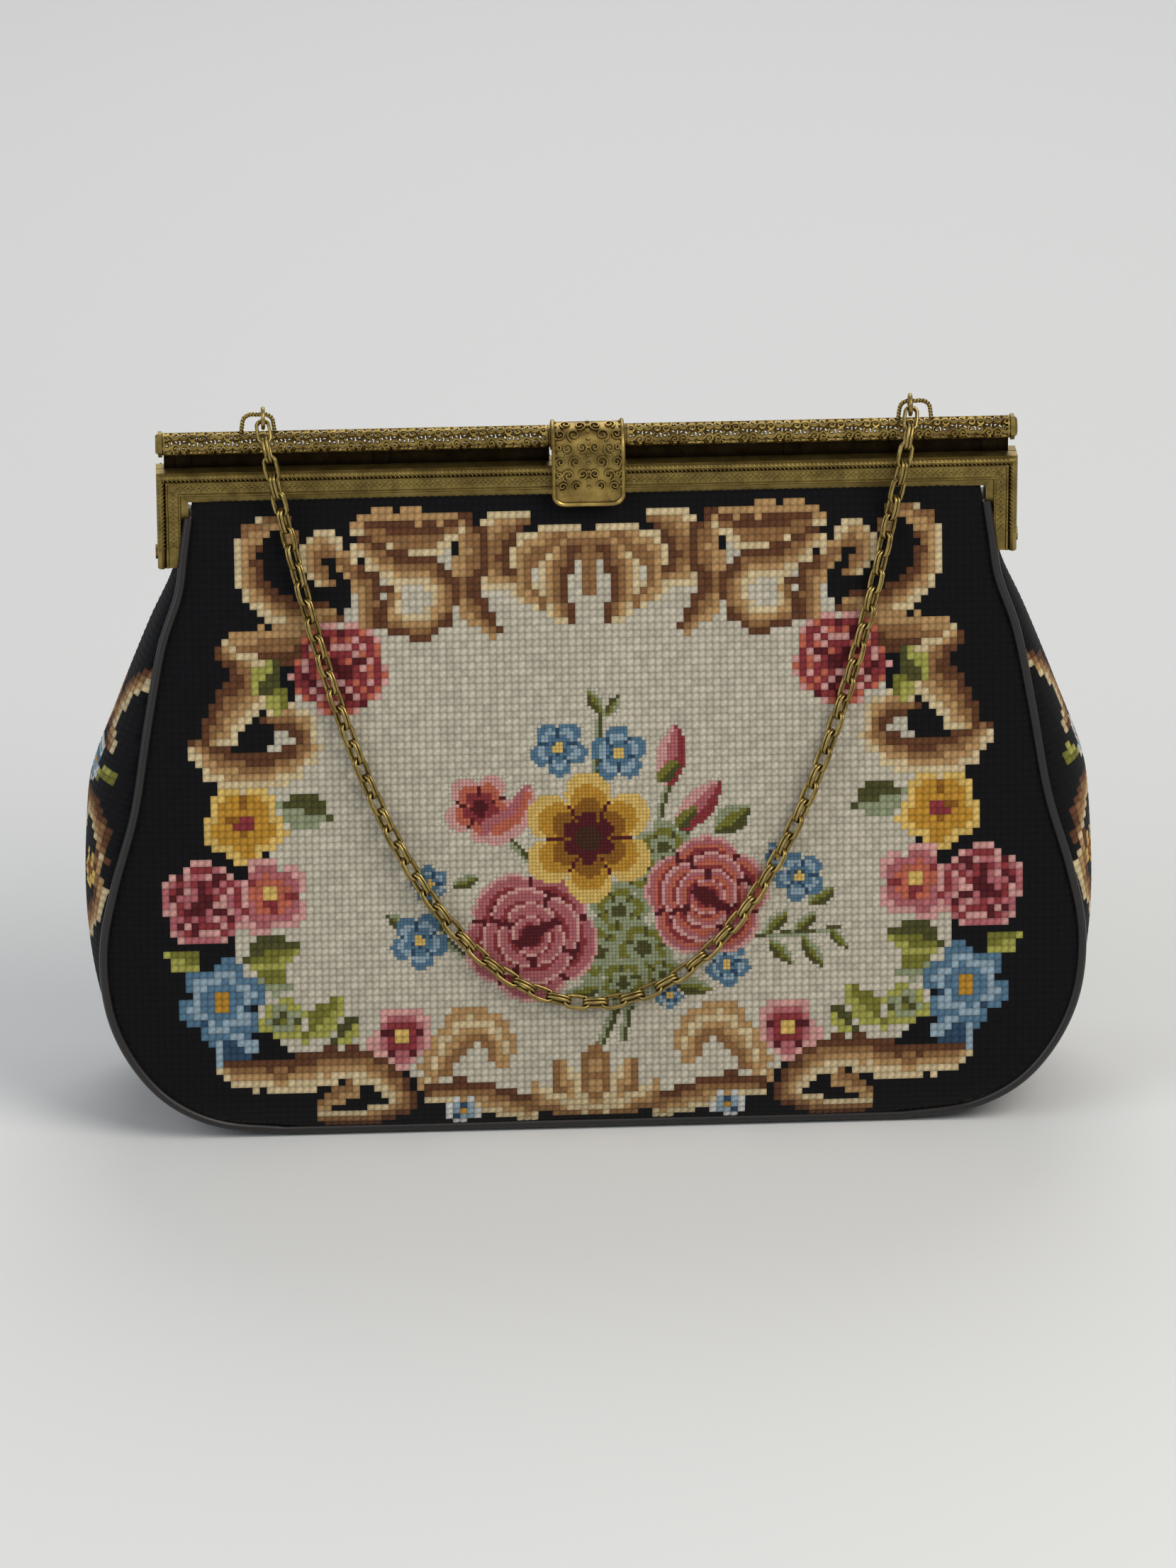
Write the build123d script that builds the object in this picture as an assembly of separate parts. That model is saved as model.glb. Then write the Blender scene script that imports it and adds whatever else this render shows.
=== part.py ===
from build123d import *
import os
from math import cosh, cos, pi, sin

os.makedirs("parts", exist_ok=True)

# A needlepoint evening bag on a ten inch brass frame, in millimetres.
# The origin is the middle of the flat bottom, +Z is up, and the front faces -Y.

# Purse frame
FRAME_HALF = 126.0        # half the width over the legs
FRAME_TOP = 199.2         # upper edge of both halves
FACE = 9.2                # height of the moulded face
PART_GAP = 0.2            # each half stands this far from the parting plane
SHEET = 0.9               # thickness of the brass sheet
LEG_FOOT = 170.0          # lower end of the legs
PIVOT_Z = 173.5           # axis on which the halves turn
LUG_R = 4.2               # round hinge lug
LUG_CLEAR = 4.8           # space cut round the lugs in both halves
LUG_THICK = 1.6
LUG_GAP = 0.35
RIVET_R = 1.2
RIVET_FIT = 0.05          # running clearance in the lug that turns

# Pierced tube on top of the rear half
TUBE_R = 3.25
TUBE_WALL = 0.6
TUBE_Z = 206.75
TUBE_HALF = 124.0
TUBE_FLATS = 8
BARREL_HALF = 11.4        # plain round stretch that the clasp turns on
WINDOW = 2.0              # width of one pierced diamond
WINDOW_PITCH = 5.9

# Clasp
CLASP_HALF = 10.75
CLASP_FOOT = 188.0
CLASP_SHEET = 0.8
CLASP_BORE = TUBE_R + 0.08
CLASP_FACE = 8.2          # inner face of the flap, in front of the parting plane

# Handle fittings
HOOP_X = 96.0
HOOP_HALF = 4.6
HOOP_WIRE = 1.4
HOOP_TOP = 215.3          # wire centre of the hoop's flat top
RING_X = 94.5             # the rings sit near the inner legs of the hoops
RING_R = 2.85
RING_WIRE = 1.2
RING_TILT = 60.0          # lean of the jump rings, forward of straight down

# Chain
LINK_WIRE = 1.0
LINK_IN_LENGTH = 6.1
LINK_IN_WIDTH = 2.75
LINK_PITCH = 5.5
LINK_THICK = 2.0          # two wires side by side
LINK_NOSE = 1.2           # cut across the corners of an oval
CHAIN_A = 40.55           # catenary parameter
CHAIN_LOW = 42.0          # height of the lowest link
CHAIN_END = 94.4          # distance of the last links from the middle
CHAIN_OFF = 3.4           # chain centre in front of the cloth
CHAIN_LEAVE = 176.0       # height at which the chain leaves the cloth
CHAIN_FRAME = 9.35        # distance from the parting plane where it passes the frame
CHAIN_CLIMB = 191.0       # height from which it curves back to its ring
CHAIN_RISE = 2.85e-5
TWIST_LINKS = 8           # links over which the chain turns by an eighth

# Cloth body
PANEL_TOP = 188.0
PANEL_NECK = 163.5        # below the legs the panel widens
NECK_HALF = 116.0
CLOTH = 1.8               # canvas and wool
TOP_DEPTH = 5.3           # half depth at the frame
BASE_DEPTH = 38.0         # half depth near the bottom
CURL = 6.0                # how far the front rolls under at the bottom
CURL_Z = 16.0
SEAM_FLOOR = 3.0          # height of the bottom seam
PIPING_R = 1.35
GUSSET_GAP = 0.5
PIPING_OUT = 0.9
PIPING_IN = 0.5
SEAM_STEPS = 11
BOARD_Z = 2.0
BOARD_THICK = 2.8
BOARD_HALF = (93.0, 28.0)
LINING = 0.6
LINING_IN = 2.6           # the lining stands this far inside the seam
LINING_GAP = 0.4
MOUTH_HALF = 2.35         # half the gap at the mouth

# Right half of the seam as the front shows it: distance from the middle, height.
SEAM = [
    (119.3, PANEL_NECK), (124.6, 148), (129.2, 125), (133.6, 100), (140.0, 78), (143.6, 60),
    (142.4, 42), (136.4, 27), (126.0, 14.5), (111.0, 6.0), (92.0, SEAM_FLOOR),
]
# Bulge of the gusset beyond the seam at each of these points.
GUSSET_BULGE = [3.2, 4.8, 9.0, 12.6, 7.6, 3.6, 1.8, 2.0, 2.6, 3.1, 3.4]


def half_depth(z):
    """Half the bag's depth at height z: a slope that steepens upward, rolled in at the foot."""
    slope = TOP_DEPTH + (BASE_DEPTH - TOP_DEPTH) * (1 - (max(z, 0.0) / PANEL_TOP) ** 1.3)
    return slope - CURL * max(0.0, 1 - z / CURL_Z) ** 2


def mirrored(part, plane=Plane.YZ):
    """The same part on the other side of a plane."""
    return mirror(part, about=plane)


def rod(x0, x1, radius, y, z):
    """A cylinder along X from x0 to x1."""
    return Pos((x0 + x1) / 2, y, z) * Rot(0, 90, 0) * Cylinder(radius, abs(x1 - x0))


def block(x0, x1, y0, y1, z0, z1):
    """A box between two corners."""
    return Pos((x0 + x1) / 2, (y0 + y1) / 2, (z0 + z1) / 2) * Box(x1 - x0, y1 - y0, z1 - z0)


def side_profile(inset, low, high):
    """Points of the front surface in the YZ plane, moved inward by inset, from high to low."""
    heights = [high, 178.0, 165.0, 150.0, 130.0, 108.0, 86.0, 64.0, 44.0, 28.0, 16.0, 9.0, low]
    return [(0, -(half_depth(z) - inset), z) for z in heights]


def seam_points(count=SEAM_STEPS):
    """Points along the seam from the right leg round the bottom to the left leg, with outward normals."""
    right = Spline(*[(x, 0, z) for x, z in SEAM], tangents=[(0.34, 0, -1), (-1, 0, 0)])
    half = []
    for i in range(count + 1):
        point, tangent = right @ (i / count), right % (i / count)
        half.append((point.X, point.Z, -tangent.Z, tangent.X))
    left = [(-x, z, -nx, nz) for x, z, nx, nz in reversed(half)]
    return half + [(0.0, SEAM_FLOOR, 0.0, -1.0)] + left


def outline_prism(inset, top=PANEL_TOP):
    """Everything within the outline, moved in by inset, from front to back."""
    seam = [(x - nx * inset, 0, z - nz * inset) for x, z, nx, nz in seam_points()]
    neck = NECK_HALF - inset
    shoulders = [(-neck, 0, PANEL_NECK), (-neck, 0, top), (neck, 0, top), (neck, 0, PANEL_NECK)]
    return extrude(make_face(Polyline(*seam, *shoulders, close=True)), amount=60, both=True)


def front_slab(inset, thickness, low=0.5, high=PANEL_TOP):
    """A curved slab that follows the front, of the thickness given, across the whole width."""
    outer = side_profile(inset, low, high)
    inner = side_profile(inset + thickness, low, high)
    section = make_face(Polyline(*outer, *reversed(inner), close=True))
    return extrude(section, amount=170, both=True)


def front_panel():
    """Canvas with wool stitches, in one piece."""
    return front_slab(0, CLOTH) & outline_prism(0)


def bulge_at(x, z):
    """Gusset bulge at a point of the seam, between the named values."""
    if z <= SEAM_FLOOR + 0.01:
        return GUSSET_BULGE[-1]
    for (xa, za), (xb, zb), a, b in zip(SEAM, SEAM[1:], GUSSET_BULGE, GUSSET_BULGE[1:]):
        if za >= z >= zb:
            return a + (b - a) * (za - z) / (za - zb)
    return GUSSET_BULGE[0]


def gusset_section(x, z, nx, nz):
    """One cut through the gusset strip: an outer and an inner skin between the two seams."""
    depth = half_depth(z) - CLOTH - GUSSET_GAP
    out = bulge_at(abs(x), z)
    shape = [(-1.0, 0.0), (-0.8, 0.6), (-0.4, 0.96), (0.4, 0.96), (0.8, 0.6), (1.0, 0.0)]
    outer = [(x + nx * out * b, depth * a, z + nz * out * b) for a, b in shape]
    inner = [(px - nx * CLOTH, py, pz - nz * CLOTH) for px, py, pz in reversed(outer)]
    return make_face(Polyline(*outer, *inner, close=True))


def gusset():
    """One strip down a side, under the bag and up the other side, worn flat where it stands."""
    strip = loft([gusset_section(*p) for p in seam_points()], ruled=True)
    strip -= block(-170, 170, -60, 60, -10, 0)
    strip -= block(-BOARD_HALF[0] - 1, BOARD_HALF[0] + 1, -BOARD_HALF[1] - 1, BOARD_HALF[1] + 1, BOARD_Z, 12)
    for side in (-1, 1):
        strip += gusset_tongue(side)
    return strip


def gusset_tongue(side):
    """The strip's top end, folded in between the legs of the frame."""
    depth = half_depth(PANEL_NECK) - CLOTH - GUSSET_GAP
    top_depth = TOP_DEPTH - CLOTH - GUSSET_GAP
    low, high = PANEL_NECK - CLOTH, PANEL_TOP - 1
    wall = Polyline((0, -depth, low), (0, depth, low), (0, top_depth, high), (0, -top_depth, high), close=True)
    fold = Pos(side * (NECK_HALF - CLOTH), 0, 0) * extrude(make_face(wall), amount=side * CLOTH, dir=(1, 0, 0))
    shelf = block(*sorted((side * (NECK_HALF - CLOTH), side * (SEAM[0][0] + 2.0))), -depth, depth, low, PANEL_NECK)
    return fold + shelf


def piping():
    """Cord covered in thin leather along the front seam."""
    path = [
        Vector(x + nx * PIPING_OUT, -(half_depth(z) - PIPING_IN), z + nz * PIPING_OUT)
        for x, z, nx, nz in seam_points()
    ]
    start = Plane(origin=path[0], z_dir=path[1] - path[0])
    return sweep(start * RegularPolygon(PIPING_R, 6), path=Polyline(*path), transition=Transition.RIGHT)


def body_core(inset, side_inset, floor):
    """The space between the panels, moved in by inset at front and back."""
    front = side_profile(inset, floor, PANEL_TOP - 0.5)
    back = [(x, -y, z) for x, y, z in reversed(front)]
    section = make_face(Polyline(*front, *back, close=True))
    core = extrude(section, amount=170, both=True) & outline_prism(side_inset, PANEL_TOP - 0.5)
    neck, shoulder = NECK_HALF - side_inset, PANEL_NECK - side_inset
    for x0, x1 in ((-130, -neck), (neck, 130)):
        core -= block(x0, x1, -60, 60, shoulder, PANEL_TOP)
    return core


def lining():
    """A pouch of thin cloth inside the bag, open at the mouth, that lies on the board."""
    floor = BOARD_Z + BOARD_THICK
    outer = body_core(CLOTH + LINING_GAP, LINING_IN, floor)
    inner = body_core(CLOTH + LINING_GAP + LINING, LINING_IN + LINING, floor + LINING)
    mouth = block(1 - NECK_HALF + LINING_IN, NECK_HALF - LINING_IN - 1, -MOUTH_HALF, MOUTH_HALF, 175, 200)
    return outer - inner - mouth


def moulding():
    """Section of the purse frame: (drop below the top edge, distance from the parting plane)."""
    face = [
        (0.0, PART_GAP), (0.0, 4.4), (0.5, 5.5), (1.2, 5.9), (1.9, 5.5), (2.3, 4.8), (2.7, 5.2), (3.2, 5.2),
        (3.4, 4.9), (6.2, 4.9), (6.4, 5.2), (6.9, 5.2), (7.2, 4.8), (FACE, 3.9),
    ]
    back = PART_GAP + SHEET
    channel = [(FACE, 3.0), (7.0, 3.9), (SHEET, 3.9), (SHEET, back), (FACE, back), (FACE, PART_GAP)]
    return face + channel


def frame_half():
    """Front half of the purse frame: a moulded channel bent to an inverted U with mitred corners."""
    x, top = FRAME_HALF, FRAME_TOP
    path = Polyline((-x, 0, LEG_FOOT), (-x, 0, top), (x, 0, top), (x, 0, LEG_FOOT))
    start = Plane(origin=(-x, 0, LEG_FOOT), x_dir=(1, 0, 0), z_dir=(0, 0, 1))
    section = start * make_face(Polyline(*[(drop, -out) for drop, out in moulding()], close=True))
    bar = sweep(section, path=path, transition=Transition.RIGHT)
    for side in (-1, 1):
        bar -= eight_sided(side * 121.5, 6.5, LUG_CLEAR)
        bar -= block(*sorted((side * 115, side * 128)), -4.4, 1, LEG_FOOT - 1, PIVOT_Z)
    return bar


def eight_sided(x, half, radius, sides=8):
    """A low prism about the hinge axis."""
    return Pos(x, 0, PIVOT_Z) * Rot(0, 90, 0) * extrude(RegularPolygon(radius, sides), amount=half, both=True)


def lug(x0, x1, bore):
    """Hinge lug of the front half: a round eye with an arm that rises into the leg."""
    eye = eight_sided((x0 + x1) / 2, (x1 - x0) / 2, LUG_R, 12)
    arm = block(x0, x1, -4.95, -PART_GAP - 0.05, PIVOT_Z, PIVOT_Z + 11)
    return eye + arm - rod(x0 - 1, x1 + 1, bore, 0, PIVOT_Z)


def front_frame():
    outer = FRAME_HALF - 0.4
    part = frame_half()
    plate = lug(outer - LUG_THICK, outer, RIVET_R + RIVET_FIT)
    return part + plate + mirrored(plate)


def back_frame():
    outer = FRAME_HALF - 0.4 - LUG_THICK - LUG_GAP
    plate = lug(outer - LUG_THICK, outer, RIVET_R)
    front_side = frame_half() + plate + mirrored(plate)
    return mirrored(front_side, Plane.XZ)


def hinge_rivet():
    """Right rivet: a shank through both lugs with a low head at each end."""
    outer = FRAME_HALF - 0.4
    inner = outer - 2 * LUG_THICK - LUG_GAP
    shank = rod(inner - 0.1, outer + 0.2, RIVET_R, 0, PIVOT_Z)
    heads = eight_sided(outer + 0.6, 0.4, 2.2, 10) + eight_sided(inner - 0.5, 0.4, 2.2, 10)
    return shank + heads


def filigree_tube():
    """Tube with diamond windows pierced through its flats, and a plain round barrel in the middle."""
    corner = 1 / cos(pi / TUBE_FLATS)
    turn = 180 / TUBE_FLATS
    wall = RegularPolygon(TUBE_R * corner, TUBE_FLATS, rotation=turn)
    wall -= RegularPolygon((TUBE_R - TUBE_WALL) * corner, TUBE_FLATS, rotation=turn)
    length = TUBE_HALF - BARREL_HALF
    arm = extrude(wall, amount=length) - window_row(int((length - 4) / WINDOW_PITCH))
    right = Pos(BARREL_HALF, 0, TUBE_Z) * Rot(0, 90, 0) * arm
    barrel = rod(-BARREL_HALF, BARREL_HALF, TUBE_R, 0, TUBE_Z)
    barrel -= rod(-BARREL_HALF, BARREL_HALF, TUBE_R - TUBE_WALL, 0, TUBE_Z)
    return barrel + right + mirrored(right)


def window_row(count):
    """Diamond bars that pierce the front and the back flat in a row along the tube."""
    half = WINDOW / 2
    long_half = WINDOW_PITCH * 0.42
    row = []
    for i in range(count):
        z = 4 + i * WINDOW_PITCH
        diamond = Polyline((half, 0, z), (0, 0, z + long_half), (-half, 0, z), (0, 0, z - long_half), close=True)
        row.append(extrude(make_face(diamond), amount=5, both=True, dir=(0, 1, 0)))
    return row


def tube_cap():
    """Right end cap: a low stepped button with eight sides."""
    base = Pos(TUBE_HALF, 0, TUBE_Z) * Rot(0, 90, 0)
    step = extrude(RegularPolygon(TUBE_R + 0.6, 8, rotation=22.5), amount=1.2)
    crown = Pos(0, 0, 1.2) * extrude(RegularPolygon(TUBE_R - 0.2, 8, rotation=22.5), amount=0.8, taper=30)
    return base * (step + crown)


def tube_posts():
    """Short posts that carry the tube on the rear half, clear of the clasp."""
    posts = []
    for x in (-118, -60, 60, 118):
        posts.append(block(x - 2.2, x + 2.2, PART_GAP, 1.3, FRAME_TOP, TUBE_Z - TUBE_R))
    return posts


def clasp():
    """Flip clasp: a barrel round the tube and a pierced cover that hooks down over the front half."""
    reach = CLASP_BORE + CLASP_SHEET
    barrel = rod(-CLASP_HALF, CLASP_HALF, reach, 0, TUBE_Z)
    top = TUBE_Z + reach
    outer = [(0.6, top), (-2.8, top - 0.6), (-5.7, top - 2.3), (-7.9, top - 5.8), (-CLASP_FACE - CLASP_SHEET, 200.5)]
    outer.append((-CLASP_FACE - CLASP_SHEET, CLASP_FOOT))
    inner = [(-CLASP_FACE, CLASP_FOOT), (-CLASP_FACE, 200.6), (-7.15, top - 6.0), (-5.1, top - 2.9), (-2.5, top - 1.4)]
    inner.append((0.6, top - CLASP_SHEET))
    section = make_face(Polyline(*[(0, y, z) for y, z in outer + inner], close=True))
    cover = extrude(section, amount=CLASP_HALF, both=True)
    front = Pos(0, -20, (CLASP_FOOT + 215) / 2) * Box(2 * CLASP_HALF, 60, 215 - CLASP_FOOT)
    front = chamfer(front.edges().filter_by(Axis.Y).sort_by(Axis.Z)[:2], 3.5)
    cover &= front
    for x, z, r in clasp_holes():
        hole = Pos(x, -8.5, z) * Rot(90, 0, 0) * RegularPolygon(r, 6)
        cover -= extrude(hole, amount=6, both=True)
    bore = rod(-20, 20, CLASP_BORE, 0, TUBE_Z)
    return barrel + cover - bore


def clasp_holes():
    """Pierced pattern of the cover: a heart of scroll openings, as (x, z, size)."""
    holes = [(0, 191.2, 1.3)]
    for side in (-1, 1):
        holes += [(side * 4.2, 192.2, 1.5), (side * 2.4, 196.3, 1.5), (side * 6.6, 197.0, 1.5), (side * 4.4, 201.2, 1.4)]
    return holes


def clasp_catch():
    """Rounded lug on the front half that the cover snaps over."""
    lug_face = Pos(0, -4.7, 197.6) * Rot(90, 0, 0) * RegularPolygon(3.2, 8, rotation=22.5)
    return extrude(lug_face, amount=2.2, taper=12)


def hoop():
    """Right hoop of twisted wire that stands on the tube."""
    foot = TUBE_Z + TUBE_R * 0.85
    half = [(0.0, HOOP_TOP), (2.6, HOOP_TOP), (HOOP_HALF - 0.4, HOOP_TOP - 1.3), (HOOP_HALF + 0.3, foot)]
    right = [(x, 0, z) for x, z in half]
    path = Polyline(*[(-x, y, z) for x, y, z in reversed(right[1:])], *right[1:])
    start = Plane(origin=path @ 0, z_dir=path % 0)
    bent = sweep(start * RegularPolygon(HOOP_WIRE / 2, 6), path=path, transition=Transition.RIGHT)
    return Pos(HOOP_X, 0, 0) * bent


def ring_centre():
    """Centre of a jump ring that hangs on its hoop, leaning forward."""
    reach = RING_R - RING_WIRE / 2 - HOOP_WIRE / 2 - 0.1
    tilt = RING_TILT * pi / 180
    return Vector(0, -reach * sin(tilt), HOOP_TOP - reach * cos(tilt))


def jump_ring(x):
    """Plain round ring in the plane of the swing."""
    around = [(0, RING_R * cos(2 * pi * i / 12), RING_R * sin(2 * pi * i / 12)) for i in range(12)]
    path = Polyline(*around, close=True)
    section = Plane(origin=path @ 0, z_dir=path % 0) * RegularPolygon(RING_WIRE / 2, 6)
    ring = sweep(section, path=path, transition=Transition.RIGHT)
    return Pos(x, ring_centre().Y, ring_centre().Z) * ring


def chain_point(x):
    """The chain's centre line: a catenary that lies on the front, then climbs over the frame to its ring."""
    z = CHAIN_LOW + CHAIN_A * (cosh(x / CHAIN_A) - 1)
    on_cloth = -(half_depth(min(z, PANEL_TOP)) + CHAIN_OFF)
    leave = min(1.0, max(0.0, (z - CHAIN_LEAVE) / (CHAIN_CLIMB - CHAIN_LEAVE)))
    climb = max(0.0, z - CHAIN_CLIMB)
    y = on_cloth * (1 - leave) - CHAIN_FRAME * leave + CHAIN_RISE * climb**4
    return Vector(x, y, z)


def chain_stations():
    """Places of an odd number of links from the left ring to the right one, evenly spaced along the line."""
    samples = [chain_point(CHAIN_END * (i / 3000 - 1)) for i in range(6001)]
    steps = [(b - a).length for a, b in zip(samples, samples[1:])]
    count = 2 * round(sum(steps) / LINK_PITCH / 2)
    pitch = sum(steps) / count
    places, gone = [samples[0]], 0.0
    for step, here in zip(steps, samples[1:]):
        gone += step
        if gone >= pitch * len(places) - 0.01:
            places.append(here)
    return places


def double_link():
    """One double link: two flat ovals side by side, long side along X."""
    x, y = LINK_IN_LENGTH / 2 + LINK_WIRE, LINK_IN_WIDTH / 2 + LINK_WIRE
    upper = [(x, y - LINK_NOSE), (x - LINK_NOSE, y), (LINK_NOSE - x, y), (-x, y - LINK_NOSE)]
    lower = [(-a, -b) for a, b in upper]
    rim = make_face(Polyline(*upper, *lower, close=True))
    return extrude(rim - Rectangle(LINK_IN_LENGTH, LINK_IN_WIDTH), amount=LINK_THICK / 2, both=True)


def chain():
    """Double links, each at right angles to the next, and turned half way from the rings to the middle."""
    link = double_link()
    places = chain_stations()
    last = len(places) - 1
    links = []
    for i, here in enumerate(places):
        along = (chain_point(here.X + 0.05) - chain_point(here.X - 0.05)).normalized()
        across = along.cross(Vector(0, -1, 0)).normalized()
        turn = 90 * (i % 2) + 45 * min(1.0, min(i, last - i) / TWIST_LINKS)
        out = along.cross(across).rotate(Axis((0, 0, 0), along), turn)
        links.append(Plane(origin=here, x_dir=along, z_dir=out).location * link)
    return links


def bottom_board():
    """Stiff card under the lining."""
    sheet = Rectangle(2 * BOARD_HALF[0], 2 * BOARD_HALF[1])
    sheet = chamfer(sheet.vertices(), 7)
    return Pos(0, 0, BOARD_Z) * extrude(sheet, amount=BOARD_THICK)


def write(name, shape):
    """Write one named piece, or a group of like pieces, to its own file."""
    body = shape if not isinstance(shape, list) else Compound(children=shape)
    export_step(body, f"parts/{name}.step")


def main():
    write("front_frame", front_frame())
    write("back_frame", back_frame())
    write("right_hinge_rivet", hinge_rivet())
    write("left_hinge_rivet", mirrored(hinge_rivet()))
    write("filigree_tube", filigree_tube())
    write("right_tube_cap", tube_cap())
    write("left_tube_cap", mirrored(tube_cap()))
    write("tube_posts", tube_posts())
    write("clasp", clasp())
    write("clasp_catch", clasp_catch())
    write("right_hoop", hoop())
    write("left_hoop", mirrored(hoop()))
    write("right_jump_ring", jump_ring(RING_X))
    write("left_jump_ring", jump_ring(-RING_X))
    write("chain", chain())
    panel = front_panel()
    write("front_panel", panel)
    write("back_panel", mirrored(panel, Plane.XZ))
    write("gusset", gusset())
    write("front_piping", piping())
    write("back_piping", mirrored(piping(), Plane.XZ))
    write("lining", lining())
    write("bottom_board", bottom_board())


main()
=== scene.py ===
"""Needlepoint evening bag on a brass purse frame: its looks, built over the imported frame."""
from __future__ import annotations

import logging
import math
import random
from dataclasses import dataclass, field
from enum import Enum
from itertools import product
from typing import Callable, Sequence

import bpy
import numpy as np
from mathutils import Matrix, Vector


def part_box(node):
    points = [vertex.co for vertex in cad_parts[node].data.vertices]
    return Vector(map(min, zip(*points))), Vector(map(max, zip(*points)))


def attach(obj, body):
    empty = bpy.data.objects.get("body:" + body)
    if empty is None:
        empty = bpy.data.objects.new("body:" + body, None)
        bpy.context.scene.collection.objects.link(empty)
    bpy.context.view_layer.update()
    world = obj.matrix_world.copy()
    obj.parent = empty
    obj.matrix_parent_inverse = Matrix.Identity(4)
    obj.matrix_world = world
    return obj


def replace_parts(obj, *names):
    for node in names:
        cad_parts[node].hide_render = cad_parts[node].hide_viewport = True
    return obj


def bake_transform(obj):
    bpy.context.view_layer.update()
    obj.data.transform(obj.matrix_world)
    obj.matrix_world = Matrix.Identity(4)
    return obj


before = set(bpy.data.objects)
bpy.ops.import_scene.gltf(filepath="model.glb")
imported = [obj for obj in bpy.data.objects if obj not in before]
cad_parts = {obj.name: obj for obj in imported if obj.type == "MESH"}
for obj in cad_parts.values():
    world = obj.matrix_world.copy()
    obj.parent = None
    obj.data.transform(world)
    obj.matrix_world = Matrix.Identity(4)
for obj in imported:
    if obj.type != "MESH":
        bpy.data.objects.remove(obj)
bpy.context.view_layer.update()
LOG = logging.getLogger("needlepoint_bag")
MM = 0.001
STITCH = 2.117            # a 12-mesh canvas, mm
Shape = tuple[np.ndarray, list]


class Body(str, Enum):
    """The bodies that the pieces ride on."""

    BAG = "bag"
    FRONT = "front_half"
    CLASP = "clasp_flap"
    HANDLE = "handle"


def linear(hex_colour: str) -> tuple[float, float, float]:
    """Turn an sRGB hex colour into linear light.

    Args:
        hex_colour: Six hex digits, such as "b9b4a6".

    Returns:
        Red, green and blue, from 0 to 1.
    """
    values = [int(hex_colour[i:i + 2], 16) / 255 for i in (0, 2, 4)]
    return tuple(v / 12.92 if v <= 0.04045 else ((v + 0.055) / 1.055) ** 2.4 for v in values)


def smooth_line(points: Sequence[Sequence[float]], steps: int) -> np.ndarray:
    """Pass a smooth line through points.

    Args:
        points: The points, of any number of coordinates.
        steps: Pieces between two points.

    Returns:
        The line's points, one a row.
    """
    given = np.array(points, float)
    padded = np.vstack([2 * given[0] - given[1], given, 2 * given[-1] - given[-2]])
    line = []
    for p0, p1, p2, p3 in zip(padded, padded[1:], padded[2:], padded[3:]):
        for k in range(steps):
            t = k / steps
            line.append(0.5 * (2 * p1 + (p2 - p0) * t + (2 * p0 - 5 * p1 + 4 * p2 - p3) * t**2
                               + (3 * p1 - p0 - 3 * p2 + p3) * t**3))
    return np.array(line + [given[-1]])


def run_length(line: np.ndarray) -> np.ndarray:
    """Distance run along a line up to each of its points."""
    return np.concatenate([[0.0], np.cumsum(np.linalg.norm(np.diff(line, axis=0), axis=1))])


def unit_rows(rows: np.ndarray) -> np.ndarray:
    """Each row as a direction of length 1."""
    return rows / np.linalg.norm(rows, axis=1)[:, None]


def read_line(v: np.ndarray, runs: np.ndarray, line: np.ndarray, columns: Sequence[int]) -> np.ndarray:
    """Read a line's columns where a distance has been run along it.

    Args:
        v: Distances run.
        runs: Distance run at each of the line's points.
        line: The line's rows.
        columns: Which of its columns are read.

    Returns:
        One row for each distance.
    """
    return np.column_stack([np.interp(v, runs, line[:, k]) for k in columns])


def heading(v: np.ndarray, runs: np.ndarray, line: np.ndarray, columns: Sequence[int],
            step: float) -> np.ndarray:
    """Unit directions of a line, taken over a step before and behind each distance run."""
    ahead = read_line(v + step, runs, line, columns) - read_line(v - step, runs, line, columns)
    return unit_rows(ahead)


@dataclass(frozen=True)
class BodyForm:
    """The cloth body's form, in millimetres, as the solids have it."""

    panel_top: float = 188.0
    tuck: float = 4.2               # cloth that runs up into the frame's channel
    top_depth: float = 5.3
    base_depth: float = 38.0
    curl: float = 6.0
    curl_height: float = 16.0
    floor: float = 3.0
    seam: tuple = ((115.3, 190.0), (117.4, 176.0), (119.3, 163.5), (124.6, 148), (129.2, 125),
                   (133.6, 100), (140.0, 78), (143.6, 60), (142.4, 42), (136.4, 27), (126.0, 14.5),
                   (111.0, 6.0), (92.0, 3.0))
    bulge: tuple = (0.6, 1.6, 3.2, 4.8, 9.2, 13.6, 9.2, 5.2, 3.4, 3.2, 3.2, 3.3, 3.4)

    def half_depth(self, z: np.ndarray) -> np.ndarray:
        """Half the bag's depth at each height."""
        rise = 1 - (np.maximum(z, 0.0) / self.panel_top) ** 1.3
        slope = self.top_depth + (self.base_depth - self.top_depth) * rise
        return slope - self.curl * np.maximum(0.0, 1 - z / self.curl_height) ** 2

    def profile(self) -> np.ndarray:
        """The front's line from the frame down: rows of (distance run, depth, height)."""
        heights = np.concatenate([np.linspace(self.panel_top, 20, 60), np.linspace(19.5, self.floor, 40)])
        line = [(self.top_depth - 1.9, self.panel_top + 3.6)] + [(self.half_depth(z), z) for z in heights]
        line = np.array(line)
        return np.column_stack([run_length(line) - self.tuck, line])

    def seam_line(self) -> np.ndarray:
        """The right half of the seam: rows of (x, z, bulge), closely spaced."""
        rows = [(x, z, b) for (x, z), b in zip(self.seam, self.bulge)]
        return smooth_line(rows, 12)


FORM = BodyForm()
PROFILE = FORM.profile()
SEAM = FORM.seam_line()


def panel_half(z: np.ndarray) -> np.ndarray:
    """Half the panel's width at a height."""
    return np.interp(-np.asarray(z), -SEAM[:, 1], SEAM[:, 0])


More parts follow.
